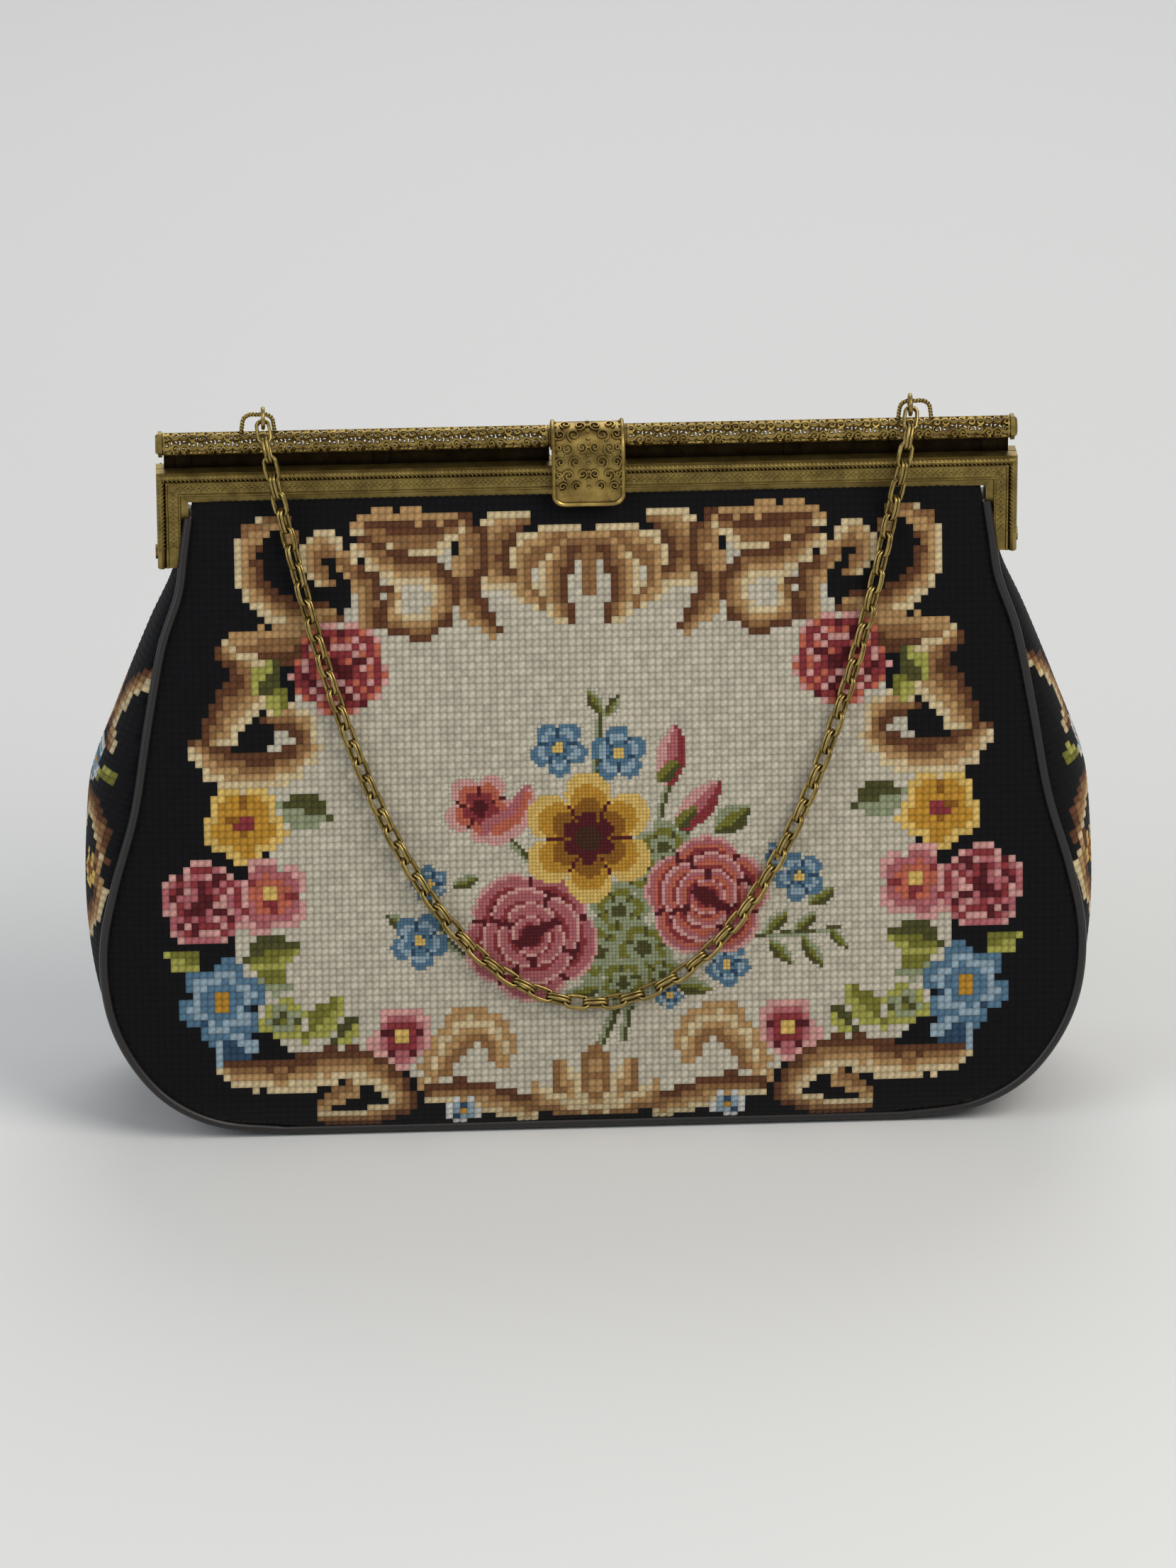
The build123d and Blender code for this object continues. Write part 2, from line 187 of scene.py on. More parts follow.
@dataclass(frozen=True)
class Wools:
    """Wool shades by their dyer's names, as sRGB hex."""

    black: str = "09090d"
    ground: str = "c6beaa"
    cream: str = "d3be94"
    tan: str = "b58f5f"
    camel: str = "8f6841"
    brown: str = "613c25"
    umber: str = "45291a"
    blush: str = "d29c94"
    rose: str = "b2666a"
    madder: str = "8a3438"
    wine: str = "551a20"
    coral: str = "bf664f"
    sky: str = "94a9b5"
    blue: str = "56778e"
    navy: str = "2f4860"
    straw: str = "dcb866"
    gold: str = "c08d30"
    amber: str = "8d5c1e"
    lime: str = "a6a450"
    olive: str = "77762f"
    moss: str = "4d4c26"
    sage: str = "939a78"
    white: str = "d9d8d2"
    canvas: str = "8a7f6a"


WOOL = Wools()
SCROLL = (WOOL.cream, WOOL.tan, WOOL.camel, WOOL.brown)
SCROLL_LIGHT = (WOOL.cream, WOOL.tan, WOOL.camel)
SCROLL_DEEP = (WOOL.tan, WOOL.camel, WOOL.brown)
PETALS_RED = (WOOL.wine, WOOL.madder, WOOL.rose, WOOL.blush)
PETALS_BLUE = (WOOL.navy, WOOL.blue, WOOL.sky, WOOL.blue)
LEAF_BRIGHT = (WOOL.lime, WOOL.olive)
LEAF_DARK = (WOOL.lime, WOOL.moss)


class Pattern:
    """Colours stitches: every motif is a shape laid over those before it."""

    lobe_pitch = 3.4                # stitches from one lobe of a scroll's leafy edge to the next
    lobe_waist = 0.78               # share of the width between two lobes
    lobe_rise = 0.5
    petal_waist = 0.58              # share of a flat flower's size between two petals
    rose_rings = ((1.0, 5, 0.3, 0.62), (0.74, 4, 1.2, 0.5),      # reach, petals, turn, dark share
                  (0.5, 3, 0.5, 0.35), (0.3, 2, 1.0, 0.3))

    def __init__(self, columns: np.ndarray, rows: np.ndarray) -> None:
        """Start with black wool everywhere.

        Args:
            columns: Each stitch's column, counted from the middle to the right.
            rows: Each stitch's row, counted down from the frame.
        """
        self.c, self.r = columns, rows
        self.rgb = np.tile(np.array(linear(WOOL.black)), (len(columns), 1))
        self.fine = np.zeros(len(columns), bool)
        self.mirror = np.abs(columns)
        self.fine_now = False

    def lay(self, where: np.ndarray, shade: str) -> None:
        """Stitch one shade where the mask is true."""
        self.rgb[where] = linear(shade)
        if self.fine_now:
            self.fine |= where

    def ramp(self, where: np.ndarray, value: np.ndarray, shades: Sequence[str]) -> None:
        """Stitch shades in bands.

        Args:
            where: Mask of the motif.
            value: From 0, the first shade, to 1, the last.
            shades: The wools in their order.
        """
        band = np.clip((value * len(shades)).astype(int), 0, len(shades) - 1)
        for k, shade in enumerate(shades):
            self.lay(where & (band == k), shade)

    def axes(self, both: bool) -> np.ndarray:
        """The column coordinate: of the border, which is the same left and right, or of the bouquet."""
        return self.mirror if both else self.c

    def polygon(self, outline: Sequence[tuple], shade: str) -> None:
        """Fill a closed outline of (column, row) points, left and right."""
        x, inside = self.mirror, np.zeros(len(self.c), bool)
        for (xa, ya), (xb, yb) in zip(outline, [*outline[1:], outline[0]]):
            crosses = (ya > self.r) != (yb > self.r)
            at = xa + (self.r - ya) * (xb - xa) / (yb - ya if yb != ya else 1e-9)
            inside ^= crosses & (x < at)
        self.lay(inside, shade)

    def stroke(self, points: Sequence[tuple], shades: Sequence[str], both: bool = True) -> None:
        """A leaf-scroll stroke: bands of shades from its left side to its right side.

        Args:
            points: Rows of (column, row, half width).
            shades: The wools across the stroke.
            both: Whether it shows left and right.
        """
        line = smooth_line(points, 7)
        x = self.axes(both)
        near = np.full(len(x), 1e9)
        side = np.zeros(len(x))
        run = 0.0
        for (xa, ya, wa), (xb, yb, wb) in zip(line, line[1:]):
            dx, dy = xb - xa, yb - ya
            t = np.clip(((x - xa) * dx + (self.r - ya) * dy) / max(dx * dx + dy * dy, 1e-9), 0, 1)
            ox, oy = x - xa - t * dx, self.r - ya - t * dy
            along = run + t * math.hypot(dx, dy)
            wave = np.abs(np.cos(math.pi * along / self.lobe_pitch))
            lobes = 1.0 if self.fine_now else self.lobe_waist + self.lobe_rise * wave
            share = np.hypot(ox, oy) / np.maximum((wa + (wb - wa) * t) * lobes, 0.05)
            run += math.hypot(dx, dy)
            better = share < near
            near = np.where(better, share, near)
            side = np.where(better, np.sign(dx * oy - dy * ox) * share, side)
        self.ramp(near < 1, (side + 1) / 2, shades)

    def polar(self, x: float, y: float, both: bool) -> tuple[np.ndarray, np.ndarray]:
        """Distance and angle of each stitch from a point."""
        dx, dy = self.axes(both) - x, self.r - y
        return np.hypot(dx, dy), np.arctan2(dy, dx)

    def blossom(self, x: float, y: float, size: float, petals: int, shades: Sequence[str], eye: str,
                both: bool = True, start: float = 0.3) -> None:
        """A flat flower with an eye and shaded petals.

        Args:
            x: Column of the middle.
            y: Row of the middle.
            size: Length of a petal.
            petals: How many petals it has.
            shades: The wools from the eye to the petals' tips.
            eye: Wool of the eye.
            both: Whether it shows left and right.
            start: Angle of the first petal.
        """
        far, angle = self.polar(x, y, both)
        lobe = np.abs(np.cos(petals * (angle - start) / 2))
        edge = size * (self.petal_waist + (1 - self.petal_waist) * lobe ** 0.5)
        self.ramp(far < edge, far / edge, shades)
        self.lay((far < edge) & (far > size * 0.35) & (lobe * far < 0.5), shades[0])
        self.lay(far < max(size * 0.2, 0.62), eye)

    def rose(self, x: float, y: float, size: float, shades: Sequence[str], both: bool = True,
             turn: float = 1.0) -> None:
        """A full rose: petals wound about a dark heart.

        Args:
            x: Column of the middle.
            y: Row of the middle.
            size: Its radius.
            shades: The wools, dark to light.
            both: Whether it shows left and right.
            turn: 1 or -1, the way that the petals wind.
        """
        far, angle = self.polar(x, y, both)
        for reach, petals, lean, inner in self.rose_rings:
            lobe = np.abs(np.cos(petals * (angle - turn * lean) / 2))
            edge = size * reach * (0.84 + 0.16 * lobe ** 0.6)
            light = np.clip((far / edge - inner) / (1 - inner), 0, 0.999)
            self.ramp(far < edge, np.where(lobe * far < 0.8, 0.0, light ** 1.25), shades)
        self.lay(far < size * 0.12, shades[0])

    def leaf(self, x: float, y: float, to_x: float, to_y: float, width: float, shades: Sequence[str],
             both: bool = True) -> None:
        """A leaf between two points, lighter on one side of its rib."""
        middle = ((x + to_x) / 2, (y + to_y) / 2, width)
        self.stroke([(x, y, 0.3), middle, (to_x, to_y, 0.25)], shades, both)

    def border(self) -> None:
        """Ivory ground with the scroll and flower wreath around it."""
        self.polygon([(0, 5), (8, 6), (13, 10), (20, 6), (30, 7), (34, 15), (38, 22), (43, 29), (46, 37),
                      (44, 45), (46, 52), (51, 58), (49, 66), (46, 74), (40, 79), (27, 80), (21, 84),
                      (0, 87)], WOOL.ground)
        self.upper_border()
        self.side_border()
        self.lower_border()

    def upper_border(self) -> None:
        """The crest in the middle and the scrolls down to the side flowers."""
        for points, shades in (
                ([(0, 5.4, 1.1), (2.6, 5.0, 1.6), (4.4, 8, 1.9), (5.2, 12, 1.8), (3.6, 15.6, 1.3)], SCROLL),
                ([(5.5, 4.6, 1.6), (9.2, 7.0, 2.0), (9.6, 11.5, 1.5), (7.0, 14.2, 1.1)], SCROLL_LIGHT),
                ([(0, 7.5, 1.2), (0, 12.5, 0.9)], (WOOL.camel, WOOL.brown)),
                ([(9, 2.2, 1.0), (13, 4.2, 2.4), (14.2, 8.4, 2.3), (11.2, 10.6, 1.4)], SCROLL),
                ([(17.5, 2.0, 1.0), (15.8, 6.5, 2.1), (17.4, 11.5, 1.8), (15.2, 15.4, 1.5),
                  (13.6, 17.4, .9)],
                 SCROLL_DEEP),
                ([(18.5, 3.0, 1.2), (24, 4.4, 3.2), (30.5, 3.0, 2.2)],
                 (WOOL.tan, WOOL.brown, WOOL.camel, WOOL.cream)),
                ([(31, 5.5, 1.2), (27, 8.6, 2.0), (22, 9.4, 1.7), (19.8, 13.0, 1.6), (23.0, 16.8, 1.7),
                  (27.6, 15.6, 1.4), (27.0, 12.6, 1.0)], SCROLL),
                ([(33, 8.5, 1.3), (30.2, 12, 1.6), (30.4, 16.6, 1.2)], SCROLL_DEEP),
                ([(33.5, 7.0, 0.9), (37, 4.6, 1.4), (38.6, 7.6, 1.3), (36.4, 10.4, 1.1)], SCROLL_LIGHT),
                ([(45.5, 2.6, 1.0), (47.3, 6.2, 1.5), (46.2, 11.4, 1.7), (41.6, 14.8, 1.8),
                  (37.0, 15.0, 1.6)], SCROLL),
                ([(46.2, 3.2, 1.2), (42.6, 1.8, 1.0), (40.6, 4.4, 0.8)], (WOOL.tan, WOOL.camel)),
                ([(36, 15.5, 1.4), (41.5, 18.6, 2.2), (48.6, 19.6, 2.2)], SCROLL_DEEP),
                ([(50.4, 19.8, 1.2), (46.6, 23.8, 2.2), (49.8, 28.2, 2.6), (52.6, 32.6, 1.6)],
                 (WOOL.brown, WOOL.camel, WOOL.tan, WOOL.cream)),
                ([(54.8, 33.2, 1.2), (50.5, 36.2, 2.3), (44.5, 36.8, 2.1), (39.6, 33.8, 1.7),
                  (40.4, 29.6, 1.5), (44.4, 29.2, 1.3)], SCROLL),
                ([(44, 23, 1.0), (43.4, 27, 1.4)], LEAF_BRIGHT)):
            self.stroke(points, shades)

    def side_border(self) -> None:
        """Roses, flat flowers and leaves down the side."""
        self.rose(34.8, 22.6, 6.9, (WOOL.wine, WOOL.madder, WOOL.madder, WOOL.coral, WOOL.blush))
        self.leaf(43.5, 21, 46.4, 25.8, 1.5, LEAF_DARK)
        self.blossom(48.4, 44.2, 6.1, 5, (WOOL.amber, WOOL.gold, WOOL.gold, WOOL.straw), WOOL.madder)
        self.leaf(43.2, 41.4, 36.8, 43.6, 2.1, (WOOL.sage, WOOL.moss))
        self.blossom(45.0, 54.4, 6.0, 5, (WOOL.madder, WOOL.coral, WOOL.rose, WOOL.blush), WOOL.straw,
                     start=1.2)
        self.rose(54.2, 55.4, 6.2, PETALS_RED, turn=-1)
        self.leaf(59.6, 62.2, 54.6, 65.0, 1.5, LEAF_BRIGHT)
        self.leaf(48.4, 63.8, 41.2, 61.8, 2.2, (WOOL.lime, WOOL.olive, WOOL.moss))
        self.leaf(47.6, 66.2, 42.4, 67.4, 1.5, (WOOL.sage, WOOL.olive))
        self.blossom(52.0, 69.6, 6.3, 6, PETALS_BLUE, WOOL.gold)
        self.blossom(50.2, 77.0, 3.2, 5, (WOOL.navy, WOOL.sky), WOOL.navy, start=1.0)
        self.blossom(43.6, 72.2, 3.4, 6, (WOOL.moss, WOOL.sage, WOOL.lime), WOOL.olive)
        self.leaf(40.4, 75.2, 35.2, 69.0, 1.8, LEAF_BRIGHT)
        self.leaf(36.4, 75.8, 33.0, 72.6, 1.4, LEAF_DARK)

    def lower_border(self) -> None:
        """Scrolls along the foot, with two small flowers and the fan in the middle."""
        self.stroke([(50.6, 79.6, 1.6), (43.5, 80.6, 2.0), (36.5, 79.0, 2.2), (31.0, 79.8, 1.9),
                     (26.8, 84.4, 1.6), (31.6, 87.2, 1.4), (38, 87.4, 1.2)], SCROLL)
        self.stroke([(38, 84.6, 0.9), (34.4, 82.8, 1.2)], (WOOL.tan, WOOL.camel))
        self.blossom(27.0, 75.2, 4.7, 5, PETALS_RED, WOOL.straw)
        self.stroke([(23.4, 82.4, 1.2), (21.4, 77.6, 2.0), (17.4, 73.6, 2.2), (13.6, 75.4, 1.8),
                     (13.4, 79.0, 1.3)], (WOOL.camel, WOOL.tan, WOOL.cream, WOOL.tan))
        self.stroke([(22.5, 83.6, 1.3), (16.5, 84.0, 2.0), (9.5, 86.6, 1.7)], SCROLL)
        self.blossom(18.6, 86.6, 2.6, 5, (WOOL.navy, WOOL.sky, WOOL.white), WOOL.gold)
        for across, top in ((0.0, 77.2), (4.2, 79.4), (7.6, 82.4)):
            self.stroke([(across * 0.55, 86.4, 1.5), (across, top + 2.4, 1.5), (across * 1.12, top, 0.5)],
                        SCROLL_LIGHT)

    def side_motif(self) -> None:
        """The gusset's scroll and small flowers, the same on both sides of the bag."""
        for points in ([(7, 22, .8), (3.6, 26, 1.5), (1.5, 31, 1.6), (4.8, 34, 1.3)],
                       [(9.5, 49, .9), (7.0, 45, 1.6), (3.0, 43.5, 1.7), (0, 47, 1.7)],
                       [(9.0, 50, .9), (10.5, 56, 1.5), (6.5, 60, 1.6), (2.0, 58, 1.3)]):
            self.stroke(points, SCROLL)
        self.blossom(0, 38, 4.0, 5, (WOOL.blue, WOOL.sky, WOOL.white), WOOL.gold)
        self.leaf(4, 39, 8, 37, 1.2, LEAF_BRIGHT)
        self.blossom(6.5, 52.5, 2.6, 5, (WOOL.amber, WOOL.straw), WOOL.madder)

    def bouquet(self) -> None:
        """The finer bouquet in the middle."""
        self.fine_now = True
        self.greenery()
        self.small_flowers()
        self.rose(-8.8, 61.0, 9.6, (WOOL.wine, WOOL.madder, WOOL.rose, WOOL.rose, WOOL.blush), False)
        self.rose(15.8, 56.0, 8.8, (WOOL.wine, WOOL.madder, WOOL.coral, WOOL.rose, WOOL.blush), False, -1)
        self.blossom(-0.6, 47.2, 9.4, 6, (WOOL.wine, WOOL.wine, WOOL.amber, WOOL.gold, WOOL.straw),
                     WOOL.umber, False, 0.52)

    def greenery(self) -> None:
        """Stems, leaves and the green florets under the bouquet."""
        for line in ([(11.2, 38.5, .45), (9.4, 44, .45), (9.0, 50, .5)],
                     [(14.6, 45.2, .45), (12, 47.6, .45), (9, 51, .5)],
                     [(-12, 46.6, .5), (-8.4, 50.8, .5), (-4.0, 55, .5)],
                     [(3.4, 70.5, .7), (1.0, 76.4, .6)], [(5.0, 70.5, .6), (3.9, 76.2, .5)],
                     [(19, 62.0, .4), (27, 61.6, .4), (34, 61.0, .35)],
                     [(-23.0, 56, .4), (-20, 62, .4), (-14, 66, .4)],
                     [(1.2, 30, .4), (0.6, 36, .4), (0, 40, .4)]):
            self.stroke(line, (WOOL.moss, WOOL.sage), False)
        for x, y, to_x, to_y, width in (
                (-0.4, 26.4, 1.6, 29.6, .9), (3.8, 27.4, 2.2, 29.8, .8), (17, 46.6, 21.6, 43.4, 2.0),
                (24, 61.4, 27, 58.4, 1.0), (28, 61.2, 31, 58.8, 1.0), (24.6, 62.4, 27.6, 65.8, 1.1),
                (29, 62, 32, 66.4, 1.0), (33, 61, 35.2, 63.6, .8), (30.2, 57.2, 33.4, 55.2, 1.2),
                (-19.4, 53.6, -16.2, 52.6, .9), (-28.6, 57.8, -25.6, 59.6, .9),
                (11.0, 68.4, 16.4, 69.2, 1.2), (-4, 69.6, 1.5, 68.6, 1.1)):
            self.leaf(x, y, to_x, to_y, width, (WOOL.sage, WOOL.olive, WOOL.moss), False)
        for x, y, size in ((3.6, 57.6, 3.4), (0.8, 63.6, 3.6), (6.8, 63.2, 3.6), (4.0, 68.0, 3.0),
                           (9.8, 48.8, 3.1), (6.6, 52.2, 2.4), (9.4, 67.0, 2.2)):
            self.blossom(x, y, size * 1.3, 5, (WOOL.moss, WOOL.sage, WOOL.olive, WOOL.sage), WOOL.moss,
                         False, x)

    def small_flowers(self) -> None:
        """Blue flowers, two buds and the red flower at the left."""
        for x, y, size, start in (
                (-4.6, 34.4, 4.0, .3), (3.7, 35.3, 4.0, .9), (-24.4, 61.4, 4.1, .2), (28.8, 53.4, 3.6, .5),
                (18.6, 65.8, 3.2, .2), (-22.8, 53.2, 2.6, .8), (10.4, 70.0, 1.9, .1), (25.6, 50.2, 1.8, .4)):
            self.blossom(x, y, size, 5, PETALS_BLUE, WOOL.straw, False, start)
        for x, y, tip_x, tip_y in ((10.6, 38.4, 11.6, 32.4), (13.0, 45.0, 17.2, 40.2)):
            self.stroke([(x, y, 1.6), ((x + tip_x) / 2, (y + tip_y) / 2, 2.1), (tip_x, tip_y, .8)],
                        (WOOL.blush, WOOL.rose, WOOL.madder), False)
            self.stroke([(x - .6, y + .2, 1.1), (x + .9, y - 1.2, .8)], (WOOL.olive, WOOL.moss), False)
        self.blossom(-15.6, 42.6, 5.0, 5, (WOOL.wine, WOOL.madder, WOOL.coral, WOOL.blush), WOOL.wine,
                     False, 0.2)
        self.stroke([(-13.4, 45.8, 2.2), (-10.6, 44.2, 2.0), (-9.0, 40.8, 1.2)],
                    (WOOL.rose, WOOL.coral, WOOL.blush), False)


@dataclass
class StitchedCloth:
    """Canvas covered with slanting wool stitches, as one closed skin.

    Its canvas has u across and v down, in millimetres, and its edge rows are (v, half width).
    """

    edge: np.ndarray
    place: Callable[[np.ndarray, np.ndarray], tuple[np.ndarray, np.ndarray]]
    colour: Callable[[np.ndarray, np.ndarray], tuple[np.ndarray, np.ndarray]]
    thickness: float = 1.5
    seed: int = 7
    cell: float = STITCH
    height: float = 0.42            # of a stitch over its holes
    spots: dict = field(default_factory=dict)
    canvas: list = field(default_factory=list)
    lifts: list = field(default_factory=list)
    ridges: list = field(default_factory=list)
    wools: list = field(default_factory=list)
    faces: list = field(default_factory=list)
    # painted shade: each face's wool number and the darkening painted at its three corners
    painted_shades: list = field(default_factory=list)

    def cells(self) -> list[tuple[int, int]]:
        """Column and row of every stitch whose middle is inside the cut."""
        start, found, row = self.edge[0, 0], [], 0
        while start + (row + 0.5) * self.cell < self.edge[-1, 0]:
            half = np.interp(start + (row + 0.5) * self.cell, self.edge[:, 0], self.edge[:, 1])
            side = max(1, int(half / self.cell + 0.5))
            found += [(column, row) for column in range(-side, side)]
            row += 1
        return found

    def corner(self, x: int, y: int, lift: float) -> int:
        """Number of the vertex at a place on the canvas that is counted in quarter stitches."""
        if (x, y) not in self.spots:
            self.spots[x, y] = len(self.canvas)
            self.canvas.append((x * self.cell / 4, self.edge[0, 0] + y * self.cell / 4))
            self.lifts.append(lift)
        return self.spots[x, y]

    def stitch(self, x: int, y: int, size: int, split: Sequence[int], rgb: np.ndarray) -> None:
        """One slanting stitch: a ridge between two opposite holes, with painted shade on its rim that is
        darkest at the holes.

        Args:
            x: Left side, in quarter stitches.
            y: Upper side, in quarter stitches.
            size: 4 for a coarse stitch, 2 for a fine one.
            split: Sides that meet fine stitches, counted from the left side round by the foot.
            rgb: Its colour.
        """
        lift = self.height * (0.4 + 0.15 * size)
        corners = [(0, 0), (0, 1), (1, 1), (1, 0)]
        rim = []
        for side in range(4):
            (xa, ya), (xb, yb) = corners[side], corners[(side + 1) % 4]
            for t in (0, 0.25, 0.5, 0.75) if side in split else (0, 0.5):
                up = 0.3 * lift if t == 0 else 0.1 * lift
                spot = (x + round((xa + (xb - xa) * t) * size), y + round((ya + (yb - ya) * t) * size))
                rim.append((self.corner(*spot, up), t == 0))
        holes = [k for k, (_, hole) in enumerate(rim) if hole]
        tips = []
        for across, down in ((0.28, 0.72), (0.72, 0.28)):
            tips.append(len(self.canvas))
            self.ridges.append((len(self.canvas), [rim[k][0] for k in holes], across, down))
            self.canvas.append((0.0, 0.0))
            self.lifts.append(lift)
        self.wools.append(rgb)
        turn = holes[2]
        rim.append(rim[0])
        # painted shade: corners at the holes take 0.42 of the wool's colour, the other rim corners 0.68 and
        # the ridge tips all of it
        for tip, begin, stop in ((tips[0], 0, turn), (tips[1], turn, len(rim) - 1)):
            for (a, a_hole), (b, b_hole) in zip(rim[begin:stop], rim[begin + 1:stop + 1]):
                self.face((tip, a, b), (1.0, 0.42 if a_hole else 0.68, 0.42 if b_hole else 0.68))
        self.face((tips[0], rim[turn][0], tips[1]), (1.0, 0.42, 1.0))
        self.face((tips[1], rim[0][0], tips[0]), (1.0, 0.42, 1.0))

    def face(self, numbers: tuple, painted_shades: tuple) -> None:
        """Add a triangle of the newest stitch, with the shade painted at its three corners."""
        self.faces.append(numbers)
        self.painted_shades.append((len(self.wools) - 1, *painted_shades))

    def stitch_all(self) -> None:
        """Every stitch, with four fine ones in place of a coarse one where the pattern is fine."""
        grid = self.cells()
        top = self.edge[0, 0]
        middle = np.array([((x + 0.5) * self.cell, top + (y + 0.5) * self.cell) for x, y in grid])
        parts = [(0, 0), (2, 0), (0, 2), (2, 2)]
        quarter = self.cell / 4
        fine_colours = [self.colour(middle[:, 0] + (a - 1) * quarter, middle[:, 1] + (b - 1) * quarter)
                        for a, b in parts]
        coarse_colour, _ = self.colour(middle[:, 0], middle[:, 1])
        is_fine = np.any([mask for _, mask in fine_colours], axis=0)
        fine = {spot for spot, flag in zip(grid, is_fine) if flag}
        draw = random.Random(self.seed)
        for n, (x, y) in enumerate(grid):
            if (x, y) in fine:
                for (a, b), (colours, _) in zip(parts, fine_colours):
                    self.stitch(4 * x + a, 4 * y + b, 2, (), colours[n] * draw.uniform(0.88, 1.08))
            else:
                beside = [(-1, 0), (0, 1), (1, 0), (0, -1)]
                split = [side for side, (a, b) in enumerate(beside) if (x + a, y + b) in fine]
                self.stitch(4 * x, 4 * y, 4, split, coarse_colour[n] * draw.uniform(0.86, 1.1))

    def rim(self) -> list[int]:
        """Vertices round the edge, from the upper left corner down and round."""
        pairs = {(a, b) for face in self.faces for a, b in zip(face, (*face[1:], face[0]))}
        after = {a: b for a, b in pairs if (b, a) not in pairs}
        canvas = np.array(self.canvas)
        first = min(after, key=lambda n: (round(canvas[n, 1], 3), canvas[n, 0]))
        loop = [first]
        while after[loop[-1]] != first:
            loop.append(after[loop[-1]])
        return loop

    def trim(self, loop: list[int]) -> np.ndarray:
        """Move the rim on the cut of the cloth, and set the ridges between their corners.

        Args:
            loop: The rim's vertices.

        Returns:
            Places of all the vertices on the canvas.
        """
        canvas = np.array(self.canvas)
        line = np.vstack([[0, self.edge[0, 0]], self.edge[:, ::-1], [0, self.edge[-1, 0]]])
        start, run = line[:-1], np.diff(line, axis=0)
        for n in loop:
            spot = np.array([abs(canvas[n, 0]), canvas[n, 1]])
            square = np.maximum(np.sum(run**2, axis=1), 1e-9)
            t = np.clip(np.sum((spot - start) * run, axis=1) / square, 0, 1)
            near = start + run * t[:, None]
            best = near[np.argmin(np.sum((near - spot) ** 2, axis=1))]
            canvas[n] = (math.copysign(best[0], canvas[n, 0]), best[1])
        for n, (a, b, c, d), across, down in self.ridges:
            left = canvas[a] * (1 - down) + canvas[b] * down
            right = canvas[d] * (1 - down) + canvas[c] * down
            canvas[n] = left * (1 - across) + right * across
        return canvas

    def close(self, loop: list[int], canvas: np.ndarray, shift: int) -> None:
        """Add the rim's wall and a plain inner side.

        Args:
            loop: The rim's vertices.
            canvas: Places of the vertices on the canvas.
            shift: Number of the first inner vertex.
        """
        self.wools.append(np.array(linear(WOOL.canvas)))
        inner = {n: shift + k for k, n in enumerate(loop)}
        for a, b in zip(loop, loop[1:] + loop[:1]):
            self.face((b, a, inner[a]), (1, 1, 1))
            self.face((b, inner[a], inner[b]), (1, 1, 1))
        top, foot = canvas[loop[0], 1] + 1e-4, canvas[loop, 1].max() - 1e-4
        left = [n for n in loop if top < canvas[n, 1] < foot and canvas[n, 0] < 0]
        right = [n for n in reversed(loop) if top < canvas[n, 1] < foot and canvas[n, 0] > 0]
        upper = [loop[0], *reversed([n for n in loop[1:] if canvas[n, 1] <= top])]
        lower = [n for n in reversed(loop) if canvas[n, 1] >= foot]
        for hub, ring in ((left[0], [*upper, right[0]]), (right[-1], [*lower, left[-1]])):
            for a, b in zip(ring, ring[1:]):
                self.face((inner[hub], inner[a], inner[b]), (1, 1, 1))
        i = j = 0
        while i < len(left) - 1 or j < len(right) - 1:
            on_left = j == len(right) - 1
            if i < len(left) - 1 and not on_left:
                on_left = canvas[left[i + 1], 1] <= canvas[right[j + 1], 1]
            if on_left:
                self.face((inner[left[i + 1]], inner[left[i]], inner[right[j]]), (1, 1, 1))
                i += 1
            else:
                self.face((inner[right[j]], inner[right[j + 1]], inner[left[i]]), (1, 1, 1))
                j += 1

    def build(self, name: str) -> bpy.types.Object:
        """Make the mesh with its colours, which carry the shade painted between the stitches.

        Args:
            name: The piece's name.

        Returns:
            The new object.
        """
        self.stitch_all()
        loop = self.rim()
        canvas = self.trim(loop)
        self.close(loop, canvas, len(canvas))
        lifts = np.array(self.lifts)
        lifts[loop] = 0.0
        outer, out = self.place(canvas[:, 0], canvas[:, 1])
        points = np.vstack([outer + out * lifts[:, None], (outer - out * self.thickness)[loop]])
        obj = mesh_object(name, (points * MM, self.faces))
        painted_shades = np.array(self.painted_shades)
        wools = np.array(self.wools)[painted_shades[:, 0].astype(int)]
        values = np.ones((len(self.faces), 3, 4), np.float32)
        # the wool's colour times the shade painted at each corner
        values[:, :, :3] = wools[:, None, :] * painted_shades[:, 1:, None]
        # the colour attribute holds the wool's colours with the painted shade in them
        layer = obj.data.color_attributes.new("wool", "FLOAT_COLOR", "CORNER")
        layer.data.foreach_set("color", values.ravel())
        all_smooth(obj)
        return obj


def mesh_object(name: str, shape: Shape) -> bpy.types.Object:
    """Link a mesh of points in metres.

    Args:
        name: The object's name.
        shape: Its points and faces.

    Returns:
        The new object.
    """
    mesh = bpy.data.meshes.new(name)
    mesh.from_pydata([tuple(p) for p in shape[0]], [], shape[1])
    mesh.update()
    obj = bpy.data.objects.new(name, mesh)
    bpy.context.scene.collection.objects.link(obj)
    return obj


def joined(shapes: Sequence[Shape]) -> Shape:
    """Put several shapes in one."""
    points, faces, shift = [], [], 0
    for some, more in shapes:
        points.append(np.asarray(some, float))
        faces += [tuple(n + shift for n in face) for face in more]
        shift += len(some)
    return np.vstack(points), faces


def placed(shape: Shape, matrix: Matrix) -> Shape:
    """The shape moved by a matrix."""
    m = np.array(matrix)
    return np.asarray(shape[0]) @ m[:3, :3].T + m[:3, 3], shape[1]


def axes_matrix(x_axis: Vector, y_axis: Vector, z_axis: Vector, spot: Vector) -> Matrix:
    """The matrix with these axes and this place."""
    return Matrix((*((x_axis[k], y_axis[k], z_axis[k], spot[k]) for k in range(3)), (0, 0, 0, 1)))


